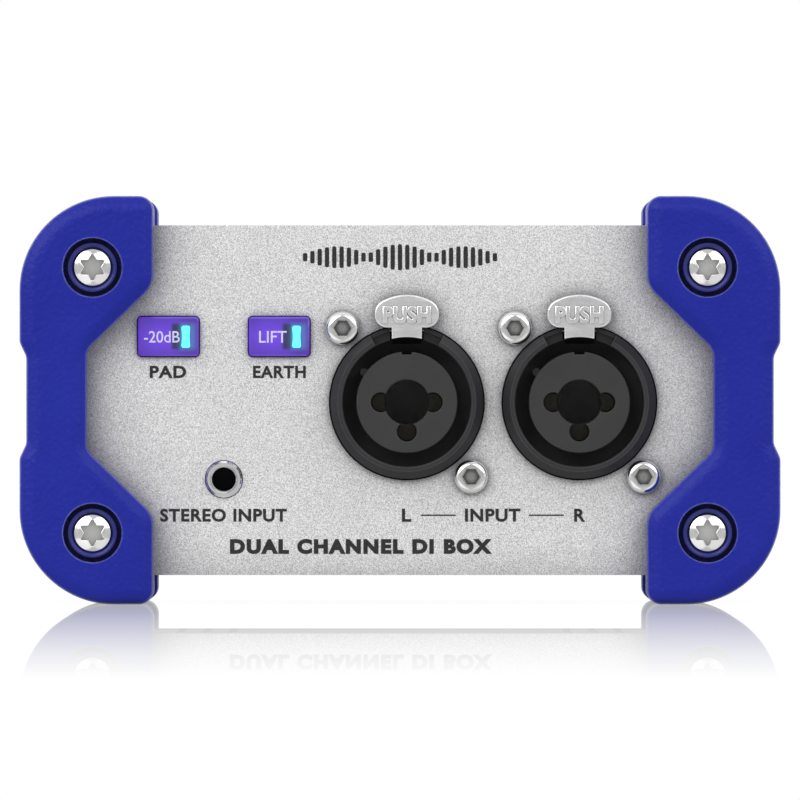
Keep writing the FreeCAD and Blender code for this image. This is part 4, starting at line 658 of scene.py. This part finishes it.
def make_floor():
    """White floor with a gloss that fades away from the object, so its reflection fades too."""
    build = bmesh.new()
    corners = [build.verts.new((x * FLOOR_REACH, y * FLOOR_REACH, 0))
               for x, y in ((-1, -1), (1, -1), (1, 1), (-1, 1))]
    build.faces.new(corners)
    mesh = bpy.data.meshes.new("floor")
    build.to_mesh(mesh)
    build.free()
    floor = bpy.data.objects.new("floor", mesh)
    bpy.context.scene.collection.objects.link(floor)

    made = Finish("floor_finish")
    nodes, links = made.tree.nodes, made.tree.links
    output = nodes["Material Output"]
    nodes.remove(made.shader)
    rays = made.node("ShaderNodeLightPath").outputs["Is Camera Ray"]
    glow = made.node("ShaderNodeMapRange", {"To Min": 0.56, "To Max": 1.01}, {"Value": rays})
    bright = made.node("ShaderNodeEmission", (), {"Strength": glow.outputs["Result"]})
    soft = made.node("ShaderNodeBsdfDiffuse")
    soft.inputs["Color"].default_value = (0.95, 0.95, 0.95, 1.0)
    gloss = made.node("ShaderNodeBsdfGlossy")
    gloss.inputs["Roughness"].default_value = 0.0
    gloss.inputs["Color"].default_value = (1.0, 1.0, 1.0, 1.0)
    away = made.distance((0.0, 0.0, 0.0), (REFLECTION_REACH,) * 3)
    shade_share = made.ramp(away, (0.0, 0.08), (0.12, 0.0))
    polish = made.ramp(away, (0.0, 0.62), (0.18, 0.58), (0.53, 0.33), (0.76, 0.16), (0.96, 0.03), (1.0, 0.0))
    seen = made.node("ShaderNodeMapRange", {"To Min": 0.3, "To Max": 1.0}, {"Value": rays})
    gloss_share = made.math("MULTIPLY", polish, seen.outputs["Result"])
    ground = nodes.new("ShaderNodeMixShader")
    links.new(shade_share, ground.inputs[0])
    links.new(bright.outputs[0], ground.inputs[1])
    links.new(soft.outputs[0], ground.inputs[2])
    whole = nodes.new("ShaderNodeMixShader")
    links.new(gloss_share, whole.inputs[0])
    links.new(ground.outputs[0], whole.inputs[1])
    links.new(gloss.outputs[0], whole.inputs[2])
    links.new(whole.outputs[0], output.inputs[0])
    mesh.materials.append(made.material)


def make_world():
    """A white surround. Its light is dimmer from in front of the object, but it looks white all round."""
    world = bpy.data.worlds.new("studio")
    bpy.context.scene.world = world
    world.use_nodes = True
    nodes, links = world.node_tree.nodes, world.node_tree.links
    coordinate = nodes.new("ShaderNodeTexCoord")
    split = nodes.new("ShaderNodeSeparateXYZ")
    links.new(coordinate.outputs["Generated"], split.inputs[0])
    spread = nodes.new("ShaderNodeMapRange")
    spread.inputs["From Min"].default_value = -1.0
    links.new(split.outputs["Y"], spread.inputs["Value"])
    ramp = nodes.new("ShaderNodeValToRGB")
    links.new(spread.outputs["Result"], ramp.inputs["Fac"])
    stops = ((0.0, 0.40), (0.04, 0.42), (0.12, 0.55), (0.42, 1.0), (1.0, 1.0))
    while len(ramp.color_ramp.elements) < len(stops):
        ramp.color_ramp.elements.new(1.0)
    for element, (place, grey) in zip(ramp.color_ramp.elements, stops):
        element.position = place
        element.color = (grey, grey, grey, 1.0)
    seen = nodes.new("ShaderNodeMix")
    seen.data_type = "RGBA"
    seen.inputs["B"].default_value = (1.0, 1.0, 1.0, 1.0)
    links.new(nodes.new("ShaderNodeLightPath").outputs["Is Camera Ray"], seen.inputs["Factor"])
    links.new(ramp.outputs["Color"], seen.inputs["A"])
    links.new(seen.outputs["Result"], nodes["Background"].inputs["Color"])


def soft_light(name, place, target, size, power):
    """A large soft lamp that points at target and doesn't show in the picture."""
    data = bpy.data.lights.new(name, "AREA")
    data.shape = "RECTANGLE"
    data.size, data.size_y = size
    data.energy = power
    light = bpy.data.objects.new(name, data)
    light.location = place
    light.rotation_euler = (Vector(target) - Vector(place)).to_track_quat("-Z", "Y").to_euler()
    light.visible_camera = False
    bpy.context.scene.collection.objects.link(light)


def make_lights():
    """Two soft lamps in front and above, the left one stronger."""
    target = (0.0, panel_face, panel_middle)
    soft_light("left_light", (-0.72, -1.05, 0.70), target, (1.3, 0.8), 8.0)
    soft_light("right_light", (0.72, -1.05, 0.70), target, (1.3, 0.8), 4.6)


def make_camera():
    """A long lens square on to the front panel."""
    data = bpy.data.cameras.new("camera")
    data.sensor_width = 36.0
    data.lens = data.sensor_width * CAMERA_DISTANCE / VIEW_WIDTH
    data.clip_end = 60.0
    camera = bpy.data.objects.new("camera", data)
    camera.location = (0.0, panel_face - CAMERA_DISTANCE, panel_middle + 0.03 * MM)
    camera.rotation_euler = (math.radians(90), 0.0, 0.0)
    bpy.context.scene.collection.objects.link(camera)
    bpy.context.scene.camera = camera
    bpy.context.scene.view_settings.view_transform = "Standard"


# --------------------------------------------------------------------------------------------------- assembly
finishes = make_finishes()
dress_nodes(finishes)
panel_ink = ink("panel_ink", (0.012, 0.012, 0.013), (0.030, 0.030, 0.031))
# The cap legends' emission is a painted glow of the light inside the cap.
cap_ink = ink("cap_ink", (0.52, 0.48, 0.72), (0.62, 0.58, 0.82), 0.4, 0.15)
lens_cyan = light_bar("lens_cyan", (0.08, 0.55, 0.58), (0.090, 0.900, 0.900))
print_front(panel_ink)
print_rear(panel_ink)
dress_buttons(cap_ink, lens_cyan)
emboss_levers(finishes["lever_steel"])
flex_springs(finishes["spring_steel"])
make_floor()
make_world()
make_lights()
make_camera()
